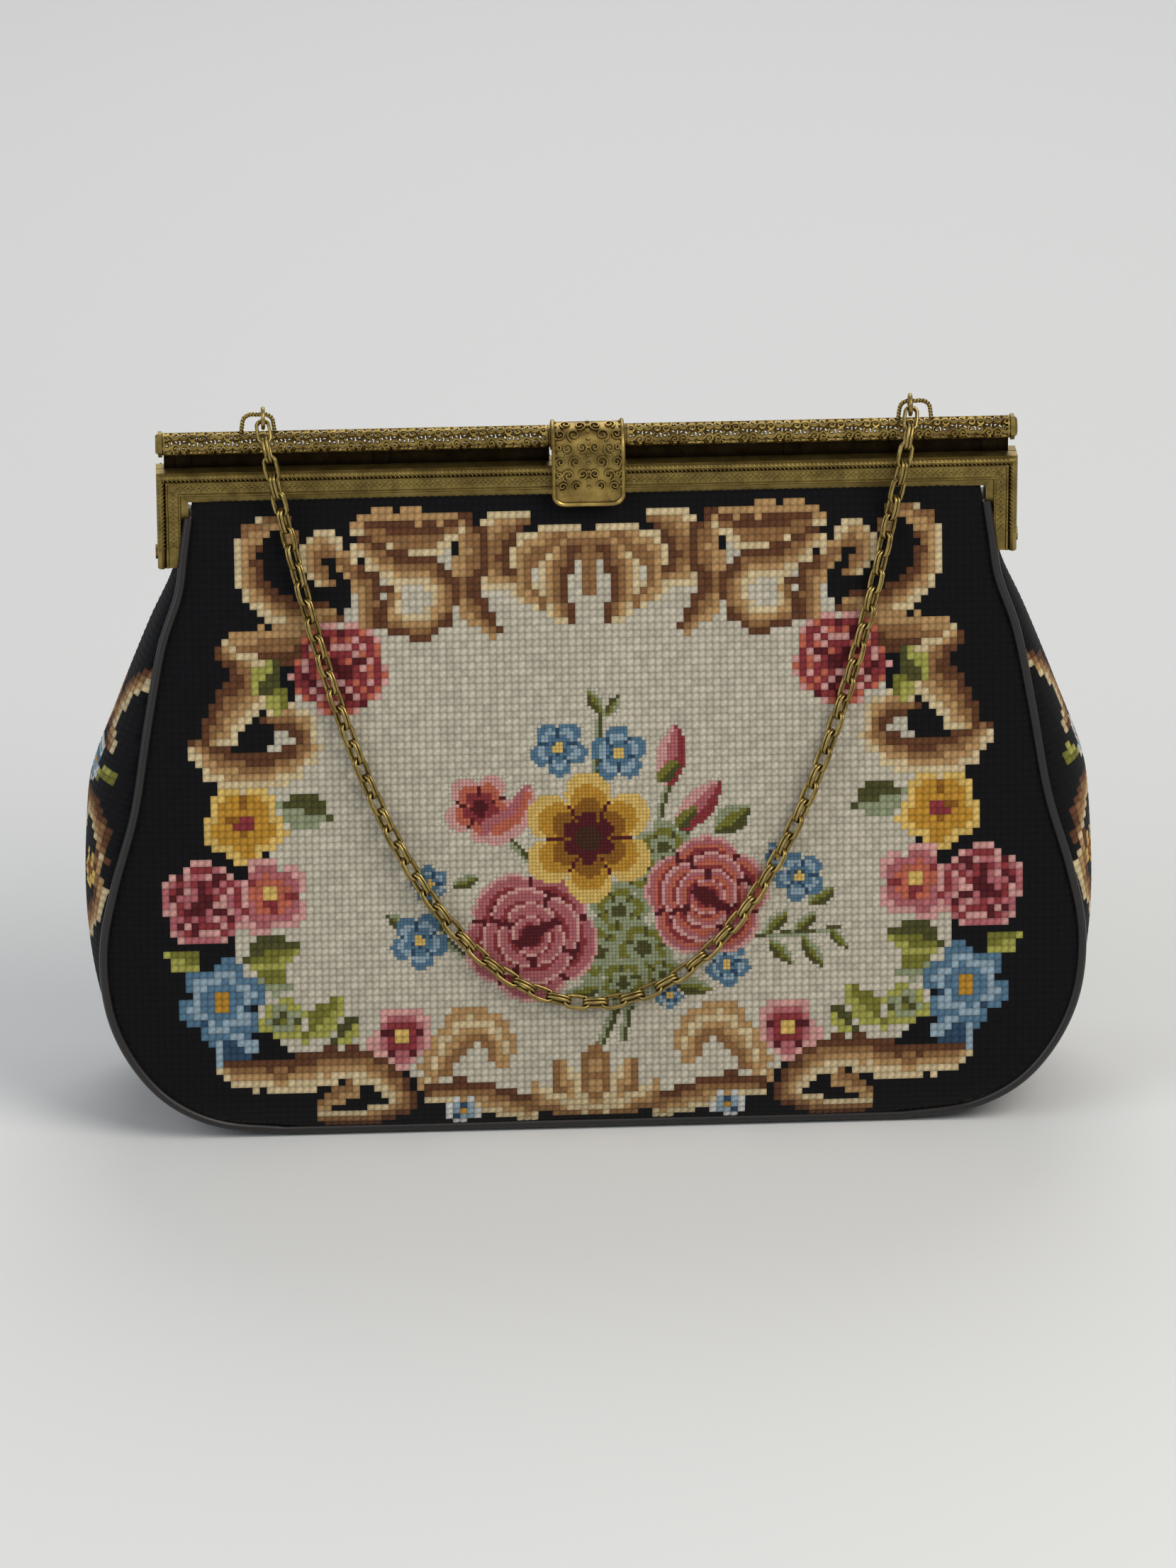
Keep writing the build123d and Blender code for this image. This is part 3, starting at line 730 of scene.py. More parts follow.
def tube(line: np.ndarray, section: np.ndarray, up: np.ndarray | None = None, closed: bool = False) -> Shape:
    """Sweep a section along a line.

    Args:
        line: Points of the centre line.
        section: Points of the section, (across, up), counter-clockwise.
        up: Direction that the section's second axis keeps to, one for each point, or none for the least
            twist.
        closed: Whether the line is a loop.

    Returns:
        Points and faces, with closed ends on an open line.
    """
    line = np.asarray(line, float)
    ahead = np.roll(line, -1, 0) - np.roll(line, 1, 0)
    if not closed:
        ahead[0], ahead[-1] = line[1] - line[0], line[-1] - line[-2]
    ahead = unit_rows(ahead)
    points, keep = [], np.array([0.31, 0.2, 0.93])
    for k, (spot, way) in enumerate(zip(line, ahead)):
        keep = up[k] if up is not None else keep
        rise = keep - way * (keep @ way)
        rise /= np.linalg.norm(rise)
        keep = rise
        across = np.cross(way, rise)
        points += [spot - across * a + rise * b for a, b in section]
    size, count = len(section), len(line)
    faces = []
    for k in range(count if closed else count - 1):
        near, far = k * size, (k + 1) % count * size
        faces += [(near + i, near + (i + 1) % size, far + (i + 1) % size, far + i) for i in range(size)]
    if not closed:
        faces += [tuple(reversed(range(size))), tuple(range((count - 1) * size, count * size))]
    return np.array(points), faces


def round_section(radius: float, sides: int) -> np.ndarray:
    """Points round a circle."""
    angles = [2 * math.pi * i / sides for i in range(sides)]
    return np.array([(radius * math.cos(a), radius * math.sin(a)) for a in angles])


def strip_section(width: float, height: float) -> np.ndarray:
    """A flat strip that is a little narrower on top."""
    return np.array([(-width / 2, -height / 2), (width / 2, -height / 2), (width * 0.3, height / 2),
                     (-width * 0.3, height / 2)])


def spiral(x: float, y: float, size: float, turns: float, way: int, start: float,
           steps: int = 12) -> np.ndarray:
    """A flat scroll that winds in to its middle.

    Args:
        x: Place of the middle.
        y: Place of the middle.
        size: Outer radius.
        turns: How many turns it has.
        way: 1 or -1, the way that it winds.
        start: Angle of the outer end.
        steps: Pieces in the line.

    Returns:
        Points (x, y).
    """
    t = np.linspace(0, 1, steps + 1)
    angle = start + way * 2 * math.pi * turns * t
    radius = size * (1 - 0.78 * t)
    return np.column_stack([x + radius * np.cos(angle), y + radius * np.sin(angle)])


@dataclass
class Dresser:
    """Adds nodes to one material."""

    material: bpy.types.Material

    @classmethod
    def named(cls, name: str) -> "Dresser":
        """Start an empty node material."""
        material = bpy.data.materials.new(name)
        material.use_nodes = True
        material.node_tree.nodes.clear()
        return cls(material)

    def add(self, kind: str, settings: dict | None = None, inputs: dict | None = None) -> bpy.types.Node:
        """Add a node with its settings and links.

        Args:
            kind: Its type, such as "ShaderNodeMath".
            settings: Its own properties.
            inputs: Values or output sockets by input name or number.

        Returns:
            The node.
        """
        node = self.material.node_tree.nodes.new(kind)
        for key, value in (settings or {}).items():
            setattr(node, key, value)
        for key, value in (inputs or {}).items():
            if isinstance(value, bpy.types.NodeSocket):
                self.material.node_tree.links.new(value, node.inputs[key])
            else:
                node.inputs[key].default_value = value
        return node


@dataclass(frozen=True)
class WoolYarn:
    """Crewel wool in tent stitch: matt, soft at grazing light, with a twist that shows as fine hatching."""

    fibre_mm: float = 0.35

    def make(self) -> bpy.types.Material:
        """Build the material, which takes its colour and the painted shade between the stitches from the
        stitches.
        """
        d = Dresser.named("crewel_wool")
        colour = d.add("ShaderNodeVertexColor", {"layer_name": "wool"})
        place = d.add("ShaderNodeTexCoord")
        fibre = d.add("ShaderNodeTexNoise", {}, {
            "Vector": place.outputs["Object"], "Scale": 1 / (self.fibre_mm * MM), "Detail": 2.0,
            "Roughness": 0.6})
        light = d.add("ShaderNodeMapRange", {}, {
            "Value": fibre.outputs["Fac"], "From Min": 0.3, "From Max": 0.7, "To Min": 0.78, "To Max": 1.16})
        shade = d.add("ShaderNodeVectorMath", {"operation": "SCALE"},
                      {0: colour.outputs["Color"], "Scale": light.outputs["Result"]})
        bump = d.add("ShaderNodeBump", {}, {
            "Height": fibre.outputs["Fac"], "Strength": 0.5, "Distance": 0.15 * MM})
        wool = d.add("ShaderNodeBsdfPrincipled", {}, {
            "Base Color": shade.outputs["Vector"], "Roughness": 0.92, "Specular IOR Level": 0.12,
            "Sheen Weight": 0.06, "Sheen Roughness": 0.6, "Normal": bump.outputs["Normal"]})
        d.add("ShaderNodeOutputMaterial", {}, {"Surface": wool.outputs["BSDF"]})
        return d.material


@dataclass(frozen=True)
class AntiqueBrass:
    """Stamped brass with an old brown patina: bright where hands rub it, and darkened to nearly black in the
    recesses by ambient occlusion, partly real patina and partly painted shade.
    """

    name: str
    bright: str = "b09a5c"
    dull: str = "7d6a3a"
    dark: str = "2c2112"
    roughness: float = 0.36
    recess_mm: float = 1.1
    stain_mm: float = 6.25
    grain_mm: float = 0.38462

    def make(self) -> bpy.types.Material:
        """Build the material."""
        d = Dresser.named(self.name)
        place = d.add("ShaderNodeTexCoord")
        stain = d.add("ShaderNodeTexNoise", {}, {
            "Vector": place.outputs["Object"], "Scale": 1 / (self.stain_mm * MM), "Detail": 5.0,
            "Roughness": 0.62})
        grain = d.add("ShaderNodeTexNoise", {}, {
            "Vector": place.outputs["Object"], "Scale": 1 / (self.grain_mm * MM), "Detail": 2.0})
        # ambient occlusion darkens the recesses towards the dark colour: partly real patina, partly painted
        # shade
        recess_patina_and_shade = d.add("ShaderNodeAmbientOcclusion", {"samples": 6}, {"Distance": self.recess_mm * MM})
        spread = d.add("ShaderNodeMapRange", {}, {
            "Value": stain.outputs["Fac"], "From Min": 0.38, "From Max": 0.64})
        metal = d.add("ShaderNodeMix", {"data_type": "RGBA"}, {
            "Factor": spread.outputs["Result"], "A": (*linear(self.dull), 1),
            "B": (*linear(self.bright), 1)})
        # share of the metal colour, low where the recesses take painted shade and patina
        high = d.add("ShaderNodeMapRange", {}, {
            "Value": recess_patina_and_shade.outputs["AO"], "From Min": 0.35, "From Max": 0.92})
        colour = d.add("ShaderNodeMix", {"data_type": "RGBA"}, {
            "Factor": high.outputs["Result"], "A": (*linear(self.dark), 1), "B": metal.outputs["Result"]})
        rough = d.add("ShaderNodeMapRange", {}, {
            "Value": grain.outputs["Fac"], "From Min": 0.3, "From Max": 0.7,
            "To Min": self.roughness - 0.08, "To Max": self.roughness + 0.14})
        bump = d.add("ShaderNodeBump", {}, {
            "Height": grain.outputs["Fac"], "Strength": 0.25, "Distance": 0.05 * MM})
        brass = d.add("ShaderNodeBsdfPrincipled", {}, {
            "Base Color": colour.outputs["Result"], "Metallic": 1.0, "Roughness": rough.outputs["Result"],
            "Normal": bump.outputs["Normal"]})
        d.add("ShaderNodeOutputMaterial", {}, {"Surface": brass.outputs["BSDF"]})
        return d.material


@dataclass(frozen=True)
class GrainedSkin:
    """A plain surface with one fine noise: thin glazed leather, lining faille or grey card."""

    name: str
    colour: str
    second: str
    grain_mm: float
    roughness: float
    depth_mm: float

    def make(self) -> bpy.types.Material:
        """Build the material."""
        d = Dresser.named(self.name)
        place = d.add("ShaderNodeTexCoord")
        grain = d.add("ShaderNodeTexNoise", {}, {
            "Vector": place.outputs["Object"], "Scale": 1 / (self.grain_mm * MM), "Detail": 3.0})
        tone = d.add("ShaderNodeMix", {"data_type": "RGBA"}, {
            "Factor": grain.outputs["Fac"], "A": (*linear(self.colour), 1), "B": (*linear(self.second), 1)})
        bump = d.add("ShaderNodeBump", {}, {
            "Height": grain.outputs["Fac"], "Strength": 0.6, "Distance": self.depth_mm * MM})
        skin = d.add("ShaderNodeBsdfPrincipled", {}, {
            "Base Color": tone.outputs["Result"], "Roughness": self.roughness,
            "Normal": bump.outputs["Normal"]})
        d.add("ShaderNodeOutputMaterial", {}, {"Surface": skin.outputs["BSDF"]})
        return d.material


@dataclass
class Finishes:
    """Every finish of the bag, made once."""

    wool: bpy.types.Material
    frame_brass: bpy.types.Material
    filigree_brass: bpy.types.Material
    chain_brass: bpy.types.Material
    shadow_brass: bpy.types.Material
    leather: bpy.types.Material
    faille: bpy.types.Material
    card: bpy.types.Material

    @classmethod
    def make(cls) -> "Finishes":
        """Make them all."""
        brasses = {
            # sheet brass rolled to a moulding: a soft olive gold
            "frame_brass": AntiqueBrass("rolled_brass", "a08b50", "7c6a3c", "3a2d18", 0.40, 0.9),
            # stamped scrollwork: bright ridges over holes darkened to nearly black by painted shade and
            # patina
            "filigree_brass": AntiqueBrass(
                "stamped_filigree_brass", "b39a58", "80693a", "1c140a", 0.38, 1.4),
            # drawn wire rubbed by the hand: the brightest brass of the bag
            "chain_brass": AntiqueBrass("drawn_wire_brass", "b9a264", "8f7a46", "33260f", 0.32, 0.8),
            # near-black brass as a painted shadow: fills the gap under the tube and hides the tube posts in
            # shade
            "shadow_brass": AntiqueBrass("painted_shadow_brass", "33291a", "211a10", "0c0805", 0.6, 3.0),
        }
        skins = {
            # black kid with a low gloss that catches the light along the cord
            "leather": GrainedSkin("glazed_kid_leather", "131010", "1d1917", 0.5, 0.42, 0.05),
            # ribbed cotton and silk, matt and sandy
            "faille": GrainedSkin("lining_faille", "8d7b5f", "a08e70", 0.4, 0.8, 0.05),
            # pressed grey board, quite dull
            "card": GrainedSkin("grey_board", "8a7d66", "7c705b", 0.8, 0.9, 0.03),
        }
        made = {key: finish.make() for key, finish in {**brasses, **skins}.items()}
        return cls(wool=WoolYarn().make(), **made)


def settle(obj: bpy.types.Object, material: bpy.types.Material,
           body: Body | None) -> bpy.types.Object:
    """Give a finished piece its material and body.

    Args:
        obj: The piece, with its place in its mesh.
        material: Its finish.
        body: What it rides on, or none.

    Returns:
        The piece.
    """
    obj.data.materials.clear()
    obj.data.materials.append(material)
    if body is not None:
        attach(obj, body.value)
    LOG.info("%s: %d faces", obj.name, len(obj.data.polygons))
    return obj


def primitive(operator: Callable, **settings: object) -> bpy.types.Object:
    """Add a primitive with nothing else selected.

    Args:
        operator: The operator that adds it.
        settings: What the operator is given.

    Returns:
        The new object.
    """
    bpy.ops.object.select_all(action="DESELECT")
    operator(**settings)
    return bpy.context.object


def taken_shape(obj: bpy.types.Object) -> Shape:
    """Take a worked primitive's shape and remove the object."""
    bpy.ops.object.transform_apply(location=True, rotation=True, scale=True)
    points = np.array([tuple(v.co) for v in obj.data.vertices])
    faces = [tuple(p.vertices) for p in obj.data.polygons]
    bpy.data.objects.remove(obj)
    return points, faces


def pick(obj: bpy.types.Object) -> None:
    """Select one object and nothing else."""
    bpy.ops.object.select_all(action="DESELECT")
    obj.select_set(True)
    bpy.context.view_layer.objects.active = obj


def pick_parts(parts: Sequence, wanted: Callable[..., bool], mode: str) -> None:
    """Select faces or vertices of the active object and stay in edit mode.

    Args:
        parts: The mesh's polygons or vertices.
        wanted: Says for each of them whether it is selected.
        mode: "FACE" or "VERT".
    """
    bpy.ops.object.mode_set(mode="EDIT")
    bpy.ops.mesh.select_all(action="DESELECT")
    bpy.ops.mesh.select_mode(type=mode)
    bpy.ops.object.mode_set(mode="OBJECT")
    for part in parts:
        part.select = wanted(part)
    bpy.ops.object.mode_set(mode="EDIT")


def all_smooth(obj: bpy.types.Object) -> None:
    """Smooth shading all over."""
    obj.data.polygons.foreach_set("use_smooth", [True] * len(obj.data.polygons))


def ease_edges(obj: bpy.types.Object, degrees: float) -> None:
    """Smooth shading that keeps sharp edges."""
    pick(obj)
    bpy.ops.object.shade_smooth_by_angle(angle=math.radians(degrees))


def give_wall(obj: bpy.types.Object, thickness: float, offset: float) -> None:
    """Turn a sheet of faces into a wall.

    Args:
        obj: The sheet.
        thickness: The wall's thickness in metres.
        offset: 0 where the wall is on both sides, -1 where it is behind the faces.
    """
    pick(obj)
    wall = obj.modifiers.new("wall", "SOLIDIFY")
    wall.thickness = thickness
    wall.offset = offset
    bpy.ops.object.modifier_apply(modifier=wall.name)


def grid_faces(rows: int, columns: int, inward: bool = False) -> list[tuple[int, int, int, int]]:
    """Faces between the points of a grid that is written row by row, turned over where inward is set."""
    faces = [(k + i, k + i + 1, k + i + 1 + columns, k + i + columns)
             for k in range(0, (rows - 1) * columns, columns) for i in range(columns - 1)]
    return [(a, d, c, b) for a, b, c, d in faces] if inward else faces


@dataclass
class NeedlepointBody:
    """Front and back panels, the gusset, the piping and the lining."""

    finishes: Finishes
    blend_start: tuple = (0.0, -0.0065, 0.167)
    blend_end: tuple = (0.0, -0.0065, 0.186)

    def panel_place(self, side: int) -> Callable[[np.ndarray, np.ndarray], tuple[np.ndarray, np.ndarray]]:
        """Where the points of a panel lie.

        Args:
            side: -1 for the front, 1 for the back.

        Returns:
            A function from (across, distance down) to the points and the outward directions, in mm.
        """
        def place(u: np.ndarray, v: np.ndarray) -> tuple[np.ndarray, np.ndarray]:
            """Points and outward directions."""
            depth, z = read_line(v, PROFILE[:, 0], PROFILE, (1, 2)).T
            fall = heading(v, PROFILE[:, 0], PROFILE, (1, 2), 0.6)
            out = np.column_stack([np.zeros(len(u)), -fall[:, 1] * side, fall[:, 0]])
            pull = np.maximum(0.0, 1 - (panel_half(z) - np.abs(u)) / 9.0) ** 2
            wave = 0.22 * np.sin(u / 17.0 + 1.3) * np.sin(v / 23.0 + 0.4)
            spot = np.column_stack([u * -side, depth * side, z])
            return spot - out * (0.8 * pull + 0.4 + wave)[:, None], out
        return place

    def panel(self, name: str, side: int) -> bpy.types.Object:
        """One panel with its stitches.

        Args:
            name: The piece's name.
            side: -1 for the front, 1 for the back.

        Returns:
            The piece.
        """
        def colour(u: np.ndarray, v: np.ndarray) -> tuple[np.ndarray, np.ndarray]:
            """Colours of stitches, and which are fine."""
            pattern = Pattern(u / STITCH, v / STITCH)
            if side < 0:
                pattern.border()
                pattern.bouquet()
            return pattern.rgb, pattern.fine

        runs = np.arange(-FORM.tuck, PROFILE[-1, 0], 1.0)
        edge = np.column_stack([runs, panel_half(np.interp(runs, PROFILE[:, 0], PROFILE[:, 2]))])
        edge = np.vstack([edge, [PROFILE[-1, 0], SEAM[-1, 0]]])
        obj = StitchedCloth(edge, self.panel_place(side), colour).build(name)
        settle(obj, self.finishes.wool, None if side < 0 else Body.BAG)
        if side < 0:
            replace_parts(obj, "front_panel")
            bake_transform(obj)
        else:
            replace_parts(obj, "back_panel")
        return obj

    def strip_line(self) -> np.ndarray:
        """Middle line of the gusset from the right leg round to the left: rows of (x, z, bulge)."""
        right = SEAM[SEAM[:, 1] < 186]
        left = right[::-1] * np.array([-1, 1, 1])
        return np.vstack([right, [[0.0, FORM.floor, FORM.bulge[-1]]], left])

    def gusset(self) -> bpy.types.Object:
        """The strip between the panels, black with a scroll and a small flower on each side."""
        line = self.strip_line()
        runs = run_length(line[:, :2])
        reach = FORM.half_depth(line[:, 1]) - 1.3

        def place(u: np.ndarray, v: np.ndarray) -> tuple[np.ndarray, np.ndarray]:
            """Points and outward directions."""
            x, z, bulge = read_line(v, runs, line, (0, 1, 2)).T
            ahead = heading(v, runs, line, (0, 1), 1.0)
            share = np.minimum(np.abs(u) / np.interp(v, runs, reach), 1.0)
            rise = bulge * (1 - share**3) ** 0.7
            spot = np.column_stack([x - ahead[:, 1] * rise, u, np.maximum(z + ahead[:, 0] * rise, 0.9)])
            out = np.column_stack([-ahead[:, 1], 0.35 * np.sign(u) * share**3, ahead[:, 0]])
            low = spot[:, 2] < 1.5
            out[low] = (0.0, 0.0, -1.0)
            return spot, unit_rows(out)

        def colour(u: np.ndarray, v: np.ndarray) -> tuple[np.ndarray, np.ndarray]:
            """Colours of the scroll and the flowers on each side."""
            pattern = Pattern(u / STITCH, np.minimum(v, runs[-1] - v) / STITCH)
            pattern.side_motif()
            return pattern.rgb, pattern.fine

        cloth = StitchedCloth(np.column_stack([runs, reach]), place, colour, thickness=1.3, seed=21)
        obj = settle(cloth.build("gusset_needlepoint"), self.finishes.wool, Body.BAG)
        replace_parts(obj, "gusset")
        return obj

    def piping(self, name: str, side: int) -> bpy.types.Object:
        """Thin leather over a cord, sewn into the seam.

        Args:
            name: The piece's name.
            side: -1 for the front, 1 for the back.

        Returns:
            The piece.
        """
        line = self.strip_line()
        ahead = unit_rows(np.gradient(line[:, :2], axis=0))
        depth = FORM.half_depth(line[:, 1]) - 0.7
        path = np.column_stack([line[:, 0] - ahead[:, 1] * 0.9, depth * side,
                                line[:, 1] + ahead[:, 0] * 0.9])
        path[:, 2] = np.maximum(path[:, 2], 1.5)
        obj = mesh_object(name, tube(path * MM, round_section(1.35 * MM, 8)))
        ease_edges(obj, 60)
        settle(obj, self.finishes.leather, None if side < 0 else Body.BAG)
        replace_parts(obj, "front_piping" if side < 0 else "back_piping")
        if side < 0:
            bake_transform(obj)
        return obj

    def lining_sheet(self, name: str, side: int) -> bpy.types.Object:
        """Front or back of the lining, a little behind the panel.

        Args:
            name: The piece's name.
            side: -1 for the front, 1 for the back.

        Returns:
            The piece.
        """
        rows, columns = np.linspace(1.0, PROFILE[-1, 0] - 3.0, 60), np.linspace(-1, 1, 25)
        half = panel_half(np.interp(rows, PROFILE[:, 0], PROFILE[:, 2])) - 3.4
        spot, out = self.panel_place(side)(np.outer(half, columns).ravel(), np.repeat(rows, len(columns)))
        obj = mesh_object(name, ((spot - out * 2.0) * MM, grid_faces(len(rows), len(columns))))
        thicken(obj, 0.5 * MM)
        settle(obj, self.finishes.faille, None if side < 0 else Body.BAG)
        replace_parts(obj, "lining")
        if side < 0:
            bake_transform(obj)
        return obj

    def lining_gore(self) -> bpy.types.Object:
        """Sides and floor of the lining, one strip along the seam."""
        line = self.strip_line()[14:-14:4]
        ahead = unit_rows(np.gradient(line[:, :2], axis=0))
        depth, shares = FORM.half_depth(line[:, 1]) - 3.2, np.linspace(-1, 1, 9)
        points = np.column_stack([
            np.repeat(line[:, 0] + ahead[:, 1] * 3.4, 9), np.outer(depth, shares).ravel(),
            np.repeat(np.maximum(line[:, 1] - ahead[:, 0] * 3.4, 5.2), 9)])
        obj = mesh_object("lining_gore", (points * MM, grid_faces(len(line), 9)))
        thicken(obj, 0.5 * MM)
        settle(obj, self.finishes.faille, Body.BAG)
        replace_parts(obj, "lining")
        return obj

    def build(self) -> None:
        """Make every piece of the cloth body."""
        self.panel("front_needlepoint", -1)
        self.panel("back_needlepoint", 1)
        self.gusset()
        self.piping("front_leather_piping", -1)
        self.piping("back_leather_piping", 1)
        self.lining_sheet("lining_front", -1)
        self.lining_sheet("lining_back", 1)
        self.lining_gore()


def thicken(obj: bpy.types.Object, thickness: float) -> None:
    """Give a sheet its thickness, with its faces outward."""
    give_wall(obj, thickness, 0)
    bpy.ops.object.mode_set(mode="EDIT")
    bpy.ops.mesh.select_all(action="SELECT")
    bpy.ops.mesh.normals_make_consistent(inside=False)
    bpy.ops.object.mode_set(mode="OBJECT")


@dataclass
class BrassFrame:
    """The engraved mouldings of both frame halves and the small fittings that the solids already have."""

    finishes: Finishes
    half: float = 126.0
    leg_foot: float = 170.0
    leg_end: float = 5.6            # plain stretch at the foot of each leg
    clearance: float = 0.4
    lattice_turn: float = 0.72
    lattice_pitch: float = 3.1
    lattice_middle: float = 4.8
    bead_pitch: float = 1.05
    ridge_pitch: float = 1.25

    def bar(self, length: float, width: float, height: float) -> Shape:
        """A low bar along X with its upper edges cut back, worked from a cube."""
        obj = primitive(bpy.ops.mesh.primitive_cube_add, size=1.0)
        obj.scale = (length, width, height)
        bpy.ops.object.transform_apply(location=False, rotation=False, scale=True)
        pick_parts(obj.data.polygons, lambda face: face.normal.z > 0.9, "FACE")
        bpy.ops.transform.resize(value=(0.86, 0.5, 1.0))
        bpy.ops.object.mode_set(mode="OBJECT")
        return taken_shape(obj)

    def rails(self) -> list[tuple[Vector, Vector, Vector, float]]:
        """The three rails of a half: start, direction along, direction inward, and length."""
        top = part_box("front_frame")[1].z / MM
        foot = self.leg_foot + self.leg_end
        return [
            (Vector((-self.half, 0, top)), Vector((1, 0, 0)), Vector((0, 0, -1)), 2 * self.half),
            (Vector((-self.half, 0, foot)), Vector((0, 0, 1)), Vector((1, 0, 0)), top - foot),
            (Vector((self.half, 0, foot)), Vector((0, 0, 1)), Vector((-1, 0, 0)), top - foot),
        ]

    def engraving(self, name: str, side: int) -> bpy.types.Object:
        """Lattice, bead rows and hatched edge on one half.

        Args:
            name: The piece's name.
            side: -1 for the front, 1 for the back.

        Returns:
            The piece.
        """
        cross = self.bar(3.0 * MM, 0.42 * MM, 0.36 * MM)
        bead = self.bar(0.72 * MM, 0.6 * MM, 0.4 * MM)
        ridge = self.bar(2.3 * MM, 0.5 * MM, 0.32 * MM)
        shapes = []
        for start, along, inward, length in self.rails():
            upright = along.z > 0.5
            out = Vector((0, side, 0))

            def put(shape: Shape, run: float, drop: float, turn: float, depth: float) -> None:
                """Set one stamp, turned in the face, where the mitres leave it room."""
                near = 0.0 if upright else drop + self.clearance
                if not near <= run <= length - drop - self.clearance:
                    return
                x_axis = (along * math.cos(turn) + inward * math.sin(turn)).normalized()
                y_axis = out.cross(x_axis).normalized()
                spot = (start + along * run + inward * drop + out * depth) * MM
                shapes.append(placed(shape, axes_matrix(y_axis.cross(out), y_axis, out, spot)))

            for k in range(int(length / self.lattice_pitch)):
                run = (k + 0.5) * self.lattice_pitch
                put(cross, run, self.lattice_middle, self.lattice_turn, 4.95)
                put(cross, run, self.lattice_middle, -self.lattice_turn, 4.95)
                put(bead, run + self.lattice_pitch / 2, self.lattice_middle, 0.0, 5.0)
            for k in range(int(length / self.bead_pitch)):
                put(bead, (k + 0.5) * self.bead_pitch, 2.95, 0.0, 5.2)
                put(bead, (k + 0.5) * self.bead_pitch, 6.65, 0.0, 5.2)
            for k in range(int(length / self.ridge_pitch)):
                put(ridge, (k + 0.5) * self.ridge_pitch, 1.25, 1.15, 5.72)
        obj = mesh_object(name, joined(shapes))
        body = Body.FRONT if side < 0 else Body.BAG
        return settle(obj, self.finishes.frame_brass, body)

    def build(self) -> None:
        """Make the engraving, and dress the solids of the frame."""
        self.engraving("front_frame_engraving", -1)
        self.engraving("back_frame_engraving", 1)
        for node in ("front_frame", "back_frame", "left_hinge_rivet", "right_hinge_rivet", "clasp_catch",
                     "left_tube_cap", "right_tube_cap", "tube_posts"):
            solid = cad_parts[node]
            solid.data.materials.clear()
            # the tube posts take the near-black painted-shadow brass so that they read as shade
            brass = self.finishes.shadow_brass if node == "tube_posts" else self.finishes.frame_brass
            solid.data.materials.append(brass)


